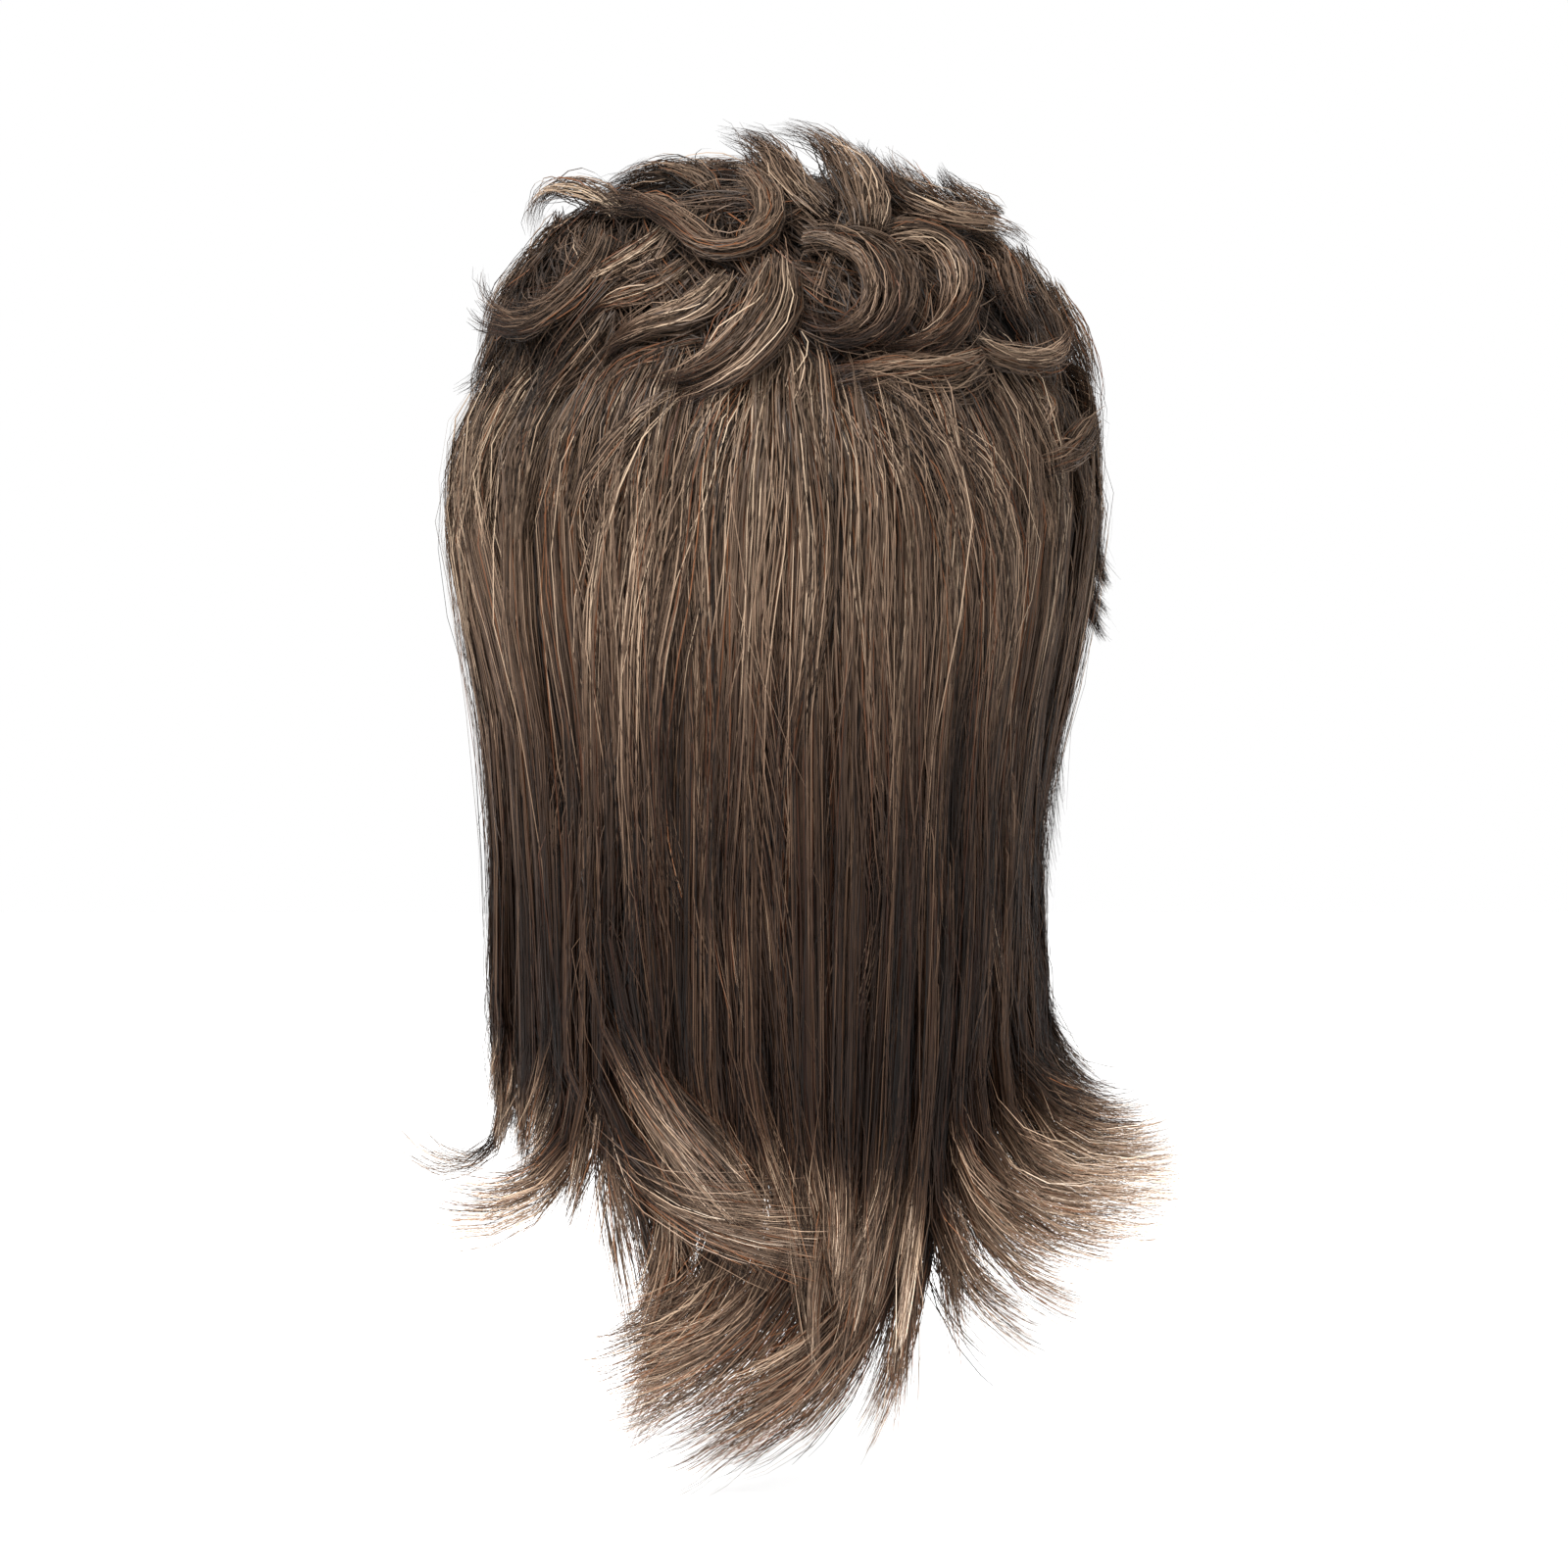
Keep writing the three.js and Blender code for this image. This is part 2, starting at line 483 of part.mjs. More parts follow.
function crownHair(grow) {
  const columns = steps(COVER_COLUMNS).slice(0, -1).map((share) => {
    const turn = 360 * share;
    const edge = polarAt(crownEdge(turn) + grow);
    return steps(COVER_ROWS).map((down) => ({
      outer: overHead(turn, edge * down, coverDepth(edge * down, turn) + grow),
      inner: overHead(turn, edge * down, -grow),
    }));
  });
  const curls = [...BACK_CURLS, ...TOP_CURLS].map((row) => {
    const path = row.turn === undefined ? backPath(row) : topPath(row);
    const thickness = CURL_THICKNESS * Math.min(1, 0.5 + row.wide);
    return lock(path, CURL_WIDTH * row.wide, thickness, grow);
  });
  return joined([wall(columns, true), ...curls]);
}

function hangingHair(zone, locks, depth, grow) {
  const strips = locks.map((row) =>
    lock(hangingPath(row, depth), LOCK_WIDTH * row.wide, LOCK_THICKNESS, grow));
  return joined([layer(zone, grow), ...strips]);
}

function sideHair(side, grow) {
  const zone = {
    from: side > 0 ? 101 : -141,
    to: side > 0 ? 141 : -101,
    columns: 8,
    rows: 3,
    notch: 0.8 * NOTCH_DEPTH,
    top: crownEdge,
    bottom: () => SIDE_DROP,
    face: (down) => ({ outer: HAIR_DEPTH * (1.35 - 0.5 * down), inner: HAIR_DEPTH * 0.3 }),
  };
  const locks = SIDE_LOCKS.map((row) => ({ ...row, turn: side * row.turn, across: side * row.across }));
  return hangingHair(zone, locks, HAIR_DEPTH * 0.85, grow);
}

function fringeHair(grow) {
  const zone = {
    from: 142,
    to: 218,
    columns: 12,
    rows: 2,
    notch: 0.7 * NOTCH_DEPTH,
    top: crownEdge,
    bottom: () => FRINGE_DROP,
    face: (down) => ({ outer: HAIR_DEPTH * (1.25 - 0.4 * down), inner: HAIR_DEPTH * 0.3 }),
  };
  return hangingHair(zone, FRINGE_LOCKS, HAIR_DEPTH * 0.75, grow);
}

function fallHair(grow) {
  const zone = {
    from: -100,
    to: 100,
    columns: FALL_COLUMNS,
    rows: FALL_ROWS,
    notch: NOTCH_DEPTH,
    top: crownEdge,
    bottom: fallEdge,
    face: (down) => ({
      outer: HAIR_DEPTH * readTable(FALL_WALL, "down", "outer", down),
      inner: HAIR_DEPTH * readTable(FALL_WALL, "down", "inner", down),
    }),
  };
  return hangingHair(zone, FALL_LOCKS, HAIR_DEPTH * 1.1, grow);
}

// The elastic band inside the cap's edge.
function edgeBand() {
  return shell(-CLEARANCE, -CLEARANCE - BAND_WALL, CAP_COLUMNS, (turn) => capRows(turn).slice(-3));
}

function mesh(name, solid, colour, roughness) {
  const { numProp, vertProperties, triVerts } = solid.getMesh();
  const made = new THREE.BufferGeometry();
  const places = new THREE.InterleavedBuffer(vertProperties, numProp);
  made.setAttribute("position", new THREE.InterleavedBufferAttribute(places, 3, 0));
  made.setIndex(new THREE.BufferAttribute(triVerts, 1));
  const material = new THREE.MeshStandardMaterial({ color: colour, roughness, metalness: 0 });
  const part = new THREE.Mesh(made, material);
  part.name = name;
  return part;
}

const wig = new THREE.Group();
wig.add(mesh("cap", shell(CAP_WALL, 0, CAP_COLUMNS, capRows), 0x4a3c31, 0.9));
wig.add(mesh("edge_band", edgeBand(), 0x3b3029, 0.85));

// Hair goes on from the top layer down, and each zone is cut back to clear those over it.
const ZONES = [
  { name: "crown_curls", make: crownHair },
  { name: "side_hair_right", make: (grow) => sideHair(1, grow) },
  { name: "side_hair_left", make: (grow) => sideHair(-1, grow) },
  { name: "fringe", make: fringeHair },
  { name: "back_fall", make: fallHair },
];
let taken = capSpace();
for (const { name, make } of ZONES) {
  const pieces = make(0).subtract(taken).decompose();
  const [hair] = pieces.sort((a, b) => b.volume() - a.volume());
  taken = taken.add(make(CLEARANCE));
  wig.add(mesh(name, hair, 0x6b5646, 0.5));
}

export default wig;
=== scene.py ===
"""The mullet wig as it looks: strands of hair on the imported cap, a plain pale floor, soft light
and the photograph's camera. Sizes are in millimetres until a mesh is made."""
import json
import math

import bpy
import numpy as np
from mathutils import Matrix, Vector

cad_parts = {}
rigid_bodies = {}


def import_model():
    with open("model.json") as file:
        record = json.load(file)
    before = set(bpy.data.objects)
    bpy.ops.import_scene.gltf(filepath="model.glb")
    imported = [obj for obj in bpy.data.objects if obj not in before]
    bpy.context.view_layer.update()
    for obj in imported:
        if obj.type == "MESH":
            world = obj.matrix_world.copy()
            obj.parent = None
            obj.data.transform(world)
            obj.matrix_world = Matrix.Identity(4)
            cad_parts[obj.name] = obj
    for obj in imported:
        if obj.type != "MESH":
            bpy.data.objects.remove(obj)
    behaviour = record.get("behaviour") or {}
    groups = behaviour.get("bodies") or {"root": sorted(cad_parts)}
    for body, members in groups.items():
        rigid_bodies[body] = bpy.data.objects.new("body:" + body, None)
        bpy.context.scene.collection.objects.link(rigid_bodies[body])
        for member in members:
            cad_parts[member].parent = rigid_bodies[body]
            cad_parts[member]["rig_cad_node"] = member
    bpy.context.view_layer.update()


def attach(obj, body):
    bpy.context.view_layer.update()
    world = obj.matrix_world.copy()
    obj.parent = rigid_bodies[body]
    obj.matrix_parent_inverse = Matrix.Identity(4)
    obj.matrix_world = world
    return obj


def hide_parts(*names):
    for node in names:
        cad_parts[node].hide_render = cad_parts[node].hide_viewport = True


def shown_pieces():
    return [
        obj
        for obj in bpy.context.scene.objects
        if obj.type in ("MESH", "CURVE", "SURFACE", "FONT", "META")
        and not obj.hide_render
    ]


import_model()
rng = np.random.default_rng(11)

MM = 0.001
HALF_BREADTH, HALF_LENGTH, CROWN_HEIGHT = 77.0, 95.0, 95.0
HEAD = np.array([HALF_BREADTH, HALF_LENGTH, CROWN_HEIGHT])
HEAD_CENTRE = np.array([0, 0, -CROWN_HEIGHT])
HEAD_RADIUS = 85.0  # about the mean, to turn a length on the hair into one on the head
FALL_DROP = 388.0
FALL_MIDDLE = 3  # degrees from the middle of the back to where the long hair fans out from
LEAST_DEPTH = 4  # of the long hair, out from the head
FLIP_LENGTH = 100.0
CURL_LENGTH, CURL_WIDTH, CURL_THICKNESS, CURL_LIFT = 100.0, 24.0, 13.0, 8.0
CURL_SINK = 8  # from the crown's outer face down to the middle of a curl that lies flat
STRAND_WIDTH = 0.34
TONES = 64  # columns of the strands' colour map
REDDISH = 12  # the last of those columns

# In metres
FLOOR_LEVEL = -0.3925
CAMERA_AT = (0.0031, -1.408, -0.172)
LIGHTS_AIM = (0, 0, -0.12)


def table(names, text):
    """A table of numbers as a dict of columns."""
    rows = [[float(x) for x in line.split()] for line in text.strip().splitlines()]
    return dict(zip(names.split(), np.array(rows).T))


# Outline of the hanging hair: share of the way down, shares of the head's half breadth and length
OUTLINE = table("below wide deep", """
    0.00 1.000 1.00
    0.10 0.940 0.99
    0.19 0.855 0.96
    0.36 0.820 0.89
    0.57 0.820 0.83
    1.00 0.820 0.79
""")

# The fall's outer face: millimetres down from the crown, and out from the head
FALL_FACE = table("drop depth", """
    20 30
    36 32
    52 32
    66 30
    80 28
    95 26
    150 26
    200 25
    270 21
    330 16
    390 13
""")

# How the long hair ends, by degrees from the middle of the back: where its flip starts as a share
# of FALL_DROP, the flip's length as a share of FLIP_LENGTH, the angle that it turns from straight
# down, and where it aims (0 out from the head, 90 to the right along it, -90 to the left)
OUTER_ENDS = table("turn start flip curl aim fill", """
    -98 0.610 0.30  12   0 1.0
    -86 0.625 0.32  12 -10 1.0
    -74 0.635 0.34  18 -20 1.0
    -60 0.640 0.38  22 -30 0.9
    -50 0.640 0.45  28 -40 0.8
    -42 0.650 0.50  20 -45 0.7
    -34 0.600 0.85  45  90 1.0
    -22 0.615 0.75  45  90 1.0
     -8 0.645 0.65  30  90 1.0
      5 0.700 0.60  15  90 1.0
     18 0.710 0.60  22 -90 1.0
     30 0.715 0.60  15 -60 1.0
     40 0.690 0.62  60  50 1.0
     50 0.660 0.76  94  44 0.9
     60 0.625 0.76  98  34 0.8
     75 0.598 0.62  72  13 0.7
     90 0.582 0.52  46   0 0.8
     98 0.550 0.60  40   0 1.0
""")
UNDER_ENDS = table("turn start flip curl aim fill", """
    -42 0.680 0.80  18  90 0.2
    -30 0.715 0.72  15  90 0.5
    -22 0.725 0.70  32 -90 0.6
    -12 0.730 0.80  58 -90 0.9
     -3 0.740 0.90  80 -90 1.3
      8 0.745 1.00  84 -90 1.5
     18 0.750 1.02  82 -90 1.5
     28 0.755 1.00  70 -90 1.5
     36 0.750 0.80  42 -80 1.0
     46 0.715 0.55  25  30 0.4
     60 0.650 0.50  55  40 0.4
""")

# Locks that stand out from the fall, such as the flips at its sides and the short ones over the
# ears. Ease is how late a flip turns. The flips at the right side have light tones, partly their
# own lighter colour and partly painted light shining through them.
LOCKS = table("turn root start flip curl aim ease wide lift tone", """
    -94 0.42 0.720 0.52 180   0 0.9 0.8  0.0  0.30
    -89 0.42 0.710 0.50 140   0 1.1 0.6  0.0  0.10
    -38 0.46 0.690 0.78 108 -46 1.0 0.9  3.0  0.34
    -41 0.46 0.685 0.70 104 -46 1.0 0.9  2.0  0.05
    -46 0.46 0.665 0.58  76 -44 1.3 1.2  1.0 -0.08
    -36 0.46 0.572 1.00  52  88 0.7 1.4  2.5  0.08
    -31 0.46 0.562 1.00  47  88 0.7 1.8  2.0 -0.22
    -26 0.46 0.600 0.80  44  90 0.8 1.6  2.0 -0.16
    -42 0.50 0.665 1.00  90  94 0.6 1.4  3.0  0.06
    -38 0.50 0.672 1.00  88  92 0.6 1.4  2.0 -0.20
    -34 0.50 0.675 0.90  86  92 0.6 1.4  2.5  0.00
     30 0.50 0.740 0.55  22 -60 1.5 2.0  2.0  0.25
     24 0.50 0.670 0.70  35 -90 1.5 1.8  1.5  0.02
     34 0.50 0.725 0.75  65  56 1.2 1.8  0.5 -0.02
     39 0.50 0.700 0.80  76  50 1.2 1.8  0.5  0.05
     44 0.48 0.675 0.82  94  46 1.2 2.2  1.0  0.16
     51 0.46 0.648 0.92 104  43 1.3 2.4  1.0  0.26
     58 0.46 0.625 0.96 108  38 1.3 2.2  1.0  0.34
     66 0.46 0.606 0.95 106  28 1.4 1.5  0.0  0.34
     76 0.44 0.596 0.88 100  16 1.6 1.1  0.0  0.26
     86 0.42 0.590 0.76  92   4 1.8 0.9  0.0  0.20
     90 0.14 0.250 0.30  45   0 1.0 3.0 -3.0 -0.10
     82 0.13 0.215 0.28  45  40 1.0 3.0 -2.0 -0.05
     95 0.14 0.235 0.28  50 -20 1.0 2.5 -3.0 -0.10
""")

# The crown's outer face: degrees from the top of the head, and millimetres out from the head
CROWN_FACE = table("polar depth", """
     0 21
    20 30
    32 35
    44 38
    57 35
    70 31
    90 26
""")

# Curls at the back of the crown, as they lie seen square from behind: start across from the middle
# as a share of HALF_BREADTH and down from the top of the head as a share of CROWN_HEIGHT, heading
# (0 right, 90 up), turns over the first and second half, and shares of the curl sizes
BACK_CURLS = table("across down heading bend hook long wide lift tip tone", """
    -0.64  0.02 260  -54 -122 0.66 0.50 0.9 0.6  0.12
    -0.70 -0.02 262  -40  -90 0.60 0.34 0.6 0.3 -0.05
    -0.86 -0.10 251  -19  -24 0.34 0.32 0.6 0.2  0.00
    -0.60 -0.05 132   39  110 0.41 0.32 0.9 0.4  0.05
    -0.22 -0.04 106   84   20 0.54 0.36 0.7 0.2  0.00
    -0.30  0.05 120   60   10 0.45 0.36 0.4 0.1 -0.10
    -0.19 -0.16 352 -220   57 1.05 0.32 1.1 0.2  0.08
     0.23  0.01 134  -14   41 0.45 0.44 0.8 0.8  0.05
     0.00  0.14 275  -50  -48 0.64 0.74 1.0 0.2  0.12
    -0.15  0.19 248  -59   36 0.52 0.42 0.7 0.1  0.18
    -0.17  0.41 171   49  123 0.65 0.18 0.5 0.1  0.00
     0.04  0.40 289  -36  -22 0.38 0.40 0.2 0.1  0.00
     0.36  0.09  80   43   48 0.57 0.62 1.0 1.0  0.05
     0.80 -0.02 175  -43  -28 0.42 0.60 0.8 0.8 -0.05
     0.94 -0.08 152   -6  -38 0.28 0.50 0.7 0.8 -0.10
     0.62 -0.06 150  -20  -20 0.34 0.60 0.4 0.6 -0.05
     0.10 -0.06 130  -10   30 0.34 0.55 0.5 0.7  0.00
    -0.45 -0.12 180   25   35 0.38 0.50 0.1 0.0 -0.08
    -0.70 -0.08 200   20   20 0.40 0.50 0.3 0.2 -0.05
     0.95  0.00 310  -10  -20 0.45 0.60 0.3 0.2 -0.04
     0.46 -0.12 317   45  -42 0.52 0.38 1.0 0.5  0.12
     0.07  0.10  25 -113 -138 0.70 0.42 1.0 0.1  0.06
     0.20  0.08  16 -119 -113 0.73 0.30 1.0 0.1  0.00
     0.39  0.09  37 -144  -96 0.83 0.50 0.9 0.1  0.10
     0.81  0.44 213  -31   23 0.46 0.48 0.5 0.1  0.06
     0.85  0.48 217  -20  -25 0.40 0.36 0.2 0.1  0.00
     0.75  0.37 318   49   65 0.42 0.38 0.7 0.2  0.10
     0.73  0.03 357  -78   48 0.45 0.62 0.6 0.1  0.00
     0.60  0.12 320  -40   20 0.42 0.50 0.2 0.0 -0.08
     1.10  0.11 298   -3  -18 0.49 0.54 0.5 0.1  0.00
     1.00  0.30 290  -10  -20 0.42 0.50 0.3 0.1 -0.05
     1.00  0.50 333  -62  -71 0.27 0.40 0.6 0.0  0.18
     1.29  0.59 257  -43  -35 0.37 0.34 0.4 0.2  0.00
    -1.00  0.10 245   10  -60 0.45 0.45 0.2 0.2 -0.06
    -0.95  0.26 250  -10  -30 0.40 0.50 0.0 0.1 -0.10
    -0.60  0.30 240  -15  -20 0.48 0.50 0.1 0.1 -0.08
    -0.35  0.38 250  -10   25 0.40 0.46 0.0 0.1 -0.08
    -0.38  0.02 232  -30  -45 0.52 0.44 0.4 0.1  0.00
    -0.30  0.15 218  -30   35 0.48 0.38 0.3 0.1 -0.04
     0.16  0.16 330  -50  -60 0.40 0.36 0.1 0.0 -0.08
""")

# The other curls: start by degrees from the middle of the back and share of CROWN_HEIGHT down,
# heading (0 right, 90 up, seen from outside), then the same columns
TOP_CURLS = table("turn drop heading bend hook long wide lift tip tone", """
     78 0.28 318  -10  -10 0.50 0.50 0.5 0.1  0.00
    -84 0.24 240  -40  -60 0.50 0.60 0.4 0.1 -0.05
     12 0.05 110   60   50 0.65 0.60 0.4 1.0  0.00
    -40 0.05 190   40   50 0.55 0.60 0.3 0.1 -0.05
    150 0.02  20   60   80 0.90 0.80 0.8 0.4  0.05
   -125 0.07 190  -60  -80 0.80 0.80 0.8 0.3  0.00
    132 0.13 310   50   80 0.70 0.80 0.8 0.2  0.00
    175 0.08 255  -50  -80 0.70 0.80 0.8 0.2  0.05
   -160 0.11 285   60   80 0.70 0.80 0.8 0.2  0.00
    114 0.21 290  -40  -70 0.60 0.75 0.6 0.1  0.00
   -112 0.21 250   40   70 0.60 0.75 0.6 0.1  0.00
    100 0.08   0  -50  -60 0.75 0.70 0.7 0.3  0.05
    -96 0.10 200  -30  -60 0.70 0.65 0.6 0.2  0.00
   -142 0.04 175   40   60 0.75 0.75 0.7 0.3  0.05
    160 0.16 300   40   60 0.60 0.70 0.5 0.2  0.00
   -178 0.17 265   35  -60 0.55 0.70 0.5 0.2 -0.05
    128 0.20 285   30   50 0.55 0.70 0.4 0.1  0.04
   -138 0.20 255  -30  -50 0.55 0.70 0.4 0.1 -0.04
""")


def read(tab, key, column, at):
    """A column of a table at places between its rows, on a smooth curve."""
    x, y = tab[key], tab[column]
    slope = np.gradient(y, x)
    at = np.clip(at, x[0], x[-1])
    i = np.clip(np.searchsorted(x, at) - 1, 0, len(x) - 2)
    span = x[i + 1] - x[i]
    t = (at - x[i]) / span
    return (
        (2 * t**3 - 3 * t**2 + 1) * y[i]
        + (t**3 - 2 * t**2 + t) * span * slope[i]
        + (3 * t**2 - 2 * t**3) * y[i + 1]
        + (t**3 - t**2) * span * slope[i + 1]
    )


def smooth(x, low=0.0, high=1.0):
    """A soft step from 0 at low to 1 at high."""
    t = np.clip((x - low) / (high - low), 0, 1)
    return t * t * (3 - 2 * t)


def unit(v):
    """Vectors of length 1 along the last axis."""
    return v / np.maximum(np.linalg.norm(v, axis=-1, keepdims=True), 1e-9)


def place(turn, drop, depth):
    """Points this deep in the hair, at a turn from the middle of the back and a drop from the crown."""
    turn, drop, depth = np.broadcast_arrays(np.radians(turn), drop, depth)
    hangs = drop > CROWN_HEIGHT
    polar = np.where(hangs, np.pi / 2, np.arccos(np.clip(1 - drop / CROWN_HEIGHT, -1, 1)))
    sp, cp = np.sin(polar), np.cos(polar)
    below = (drop - CROWN_HEIGHT) / (FALL_DROP - CROWN_HEIGHT)
    wide = np.where(hangs, read(OUTLINE, "below", "wide", below), 1)
    deep = np.where(hangs, read(OUTLINE, "below", "deep", below), 1)
    out = unit(np.stack([
        sp * np.sin(turn) / HALF_BREADTH,
        -sp * np.cos(turn) / HALF_LENGTH,
        cp / CROWN_HEIGHT,
    ], -1))
    point = np.stack([
        wide * HALF_BREADTH * sp * np.sin(turn),
        -deep * HALF_LENGTH * sp * np.cos(turn),
        np.where(hangs, -drop, CROWN_HEIGHT * (cp - 1)),
    ], -1)
    return point + out * depth[..., None]


def crown_face(polar, turn):
    """How deep the crown's outer face is, in degrees from its top and from the middle of the back."""
    front = smooth(np.abs((turn + 180) % 360 - 180), 95, 150)
    return read(CROWN_FACE, "polar", "depth", polar) * (1 - 0.2 * front)


def outward(points):
    """The direction out of the hair at each point."""
    centre = np.zeros_like(points)
    centre[..., 2] = np.minimum(points[..., 2], -CROWN_HEIGHT)
    return unit(points - centre)


def make_mesh(name, points, faces, tone, along, node):
    """A piece from points (mm) and quads, with the tone column and place along the strand as UVs."""
    mesh = bpy.data.meshes.new(name)
    mesh.vertices.add(len(points))
    mesh.vertices.foreach_set("co", (points * MM).astype(np.float32).ravel())
    mesh.loops.add(faces.size)
    mesh.loops.foreach_set("vertex_index", faces.astype(np.int32).ravel())
    mesh.polygons.add(len(faces))
    mesh.polygons.foreach_set("loop_start", np.arange(0, faces.size, 4, dtype=np.int32))
    mesh.polygons.foreach_set("use_smooth", np.ones(len(faces), bool))
    layer = mesh.uv_layers.new(name="OFBake")
    layer.data.foreach_set("uv", np.stack([tone, along], -1).astype(np.float32).ravel())
    mesh.update(calc_edges=True)
    mesh.validate()
    piece = bpy.data.objects.new(name, mesh)
    bpy.context.collection.objects.link(piece)
    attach(piece, "root")
    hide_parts(node)
    return piece


def ribbons(paths, width, tone, along, face=None):
    """Flat tapered strands along paths (strand, point, xyz), as points, quads and their map."""
    count, steps = paths.shape[:2]
    way = unit(np.gradient(paths, axis=1))
    side = unit(np.cross(way, outward(paths) if face is None else face))
    t = np.linspace(0, 1, steps)
    rolled = rng.uniform(-40, 40, (count, 1))
    twist = rng.uniform(-30, 30, (count, 1))
    roll = np.radians(rolled + twist * t)
    side = side * np.cos(roll)[..., None] + np.cross(way, side) * np.sin(roll)[..., None]
    taper = np.minimum(1, 0.6 + 4 * t) * (1 - 0.8 * np.clip((t - 0.45) / 0.55, 0, 1) ** 1.6)
    half = 0.5 * (width[:, None] * taper[None])[..., None]
    points = np.stack([paths - side * half, paths + side * half], 2).reshape(-1, 3)
    s, i = np.meshgrid(np.arange(count), np.arange(steps - 1), indexing="ij")
    low, high = (s * steps + i) * 2, (s * steps + i + 1) * 2
    faces = np.stack([low, low + 1, high + 1, high], -1).reshape(-1, 4)
    column = np.broadcast_to(tone[:, None], s.shape)[..., None]
    u = ((column + np.array([0.2, 0.8, 0.8, 0.2])) / TONES).reshape(-1)
    v = np.stack([along[s, i], along[s, i], along[s, i + 1], along[s, i + 1]], -1).reshape(-1)
    return points, faces, u, np.clip(v, 0.004, 0.996)


def shade_sheet(grid, along):
    """A sheet for the dense hair under the strands, painted in the darkest tone as its shade, as
    points, quads and their map.
    """
    rows, columns = grid.shape[:2]
    i, j = np.meshgrid(np.arange(rows - 1), np.arange(columns - 1), indexing="ij")
    at = i * columns + j
    faces = np.stack([at, at + columns, at + columns + 1, at + 1], -1).reshape(-1, 4)
    u = np.tile(np.array([0.2, 0.2, 0.8, 0.8]), len(faces)) / TONES
    v0, v1 = along[i.ravel()], along[i.ravel() + 1]
    return grid.reshape(-1, 3), faces, u, np.stack([v0, v1, v1, v0], -1).reshape(-1)


def fuse(parts):
    """Joins several (points, faces, u, v) into one."""
    offset = np.cumsum([0] + [len(p[0]) for p in parts[:-1]])
    return (
        np.concatenate([p[0] for p in parts]),
        np.concatenate([p[1] + o for p, o in zip(parts, offset)]),
        np.concatenate([p[2] for p in parts]),
        np.concatenate([p[3] for p in parts]),
    )


def tones(value, red=0.06):
    """A tone column for each strand, dark to light, with a few reddish ones in the last columns."""
    count = len(value)
    column = np.floor(1 + np.clip(value, 0.02, 0.98) * (TONES - REDDISH - 1))
    chosen = rng.random(count) < red
    return np.where(chosen, TONES - REDDISH + rng.integers(0, REDDISH, count), column)


def wave(count, t, size, cycles):
    """A slow wave for each strand."""
    phase = rng.uniform(0, 2 * np.pi, (count, 1))
    rate = rng.uniform(0.6, 1.4, (count, 1)) * cycles
    return size[:, None] * np.sin(2 * np.pi * rate * t + phase)


def lock_rows(ends, number, low, high, root, spread, vary=1.0):
    """Rows for many locks side by side from low to high, their ends read from a table of ends."""
    turn = np.linspace(low, high, number) + rng.uniform(-0.4, 0.4, number) * (high - low) / number
    rows = {key: np.interp(turn, ends["turn"], ends[key]) for key in ("flip", "curl", "aim", "fill")}
    rows.update({
        "turn": turn,
        "root": rng.uniform(*root, number),
        "start": np.interp(turn, ends["turn"], ends["start"]) * rng.normal(1, spread, number),
        "flip": rows["flip"] * rng.uniform(0.85, 1.1, number),
        "curl": rows["curl"] * (1 + vary * rng.uniform(-0.2, 0.15, number)),
        "ease": rng.uniform(1.1, 1.8, number),
        "wide": 0.72 * (high - low) / number * rng.uniform(0.7, 1.3, number),
        "lift": rng.uniform(-1.5, 1.5, number),
        "drift": rng.normal(0, 3.0, number),
        "tone": rng.normal(0, 0.09, number),
        "swing": rng.uniform(0.6, 1.3, number),
        "sway": rng.uniform(0.4, 2.8, number),
        "phase": rng.uniform(0, 6.3, number),
    })
    return rows


# Points of a hanging strand: shares of the way down to its flip, then parts of the flip done
BODY_STEPS = np.array([0, 0.06, 0.14, 0.24, 0.37, 0.54, 0.77])
FLIP_STEPS = np.array([0, 7, 13, 18, 22, 24])
FLIP_PARTS = 24


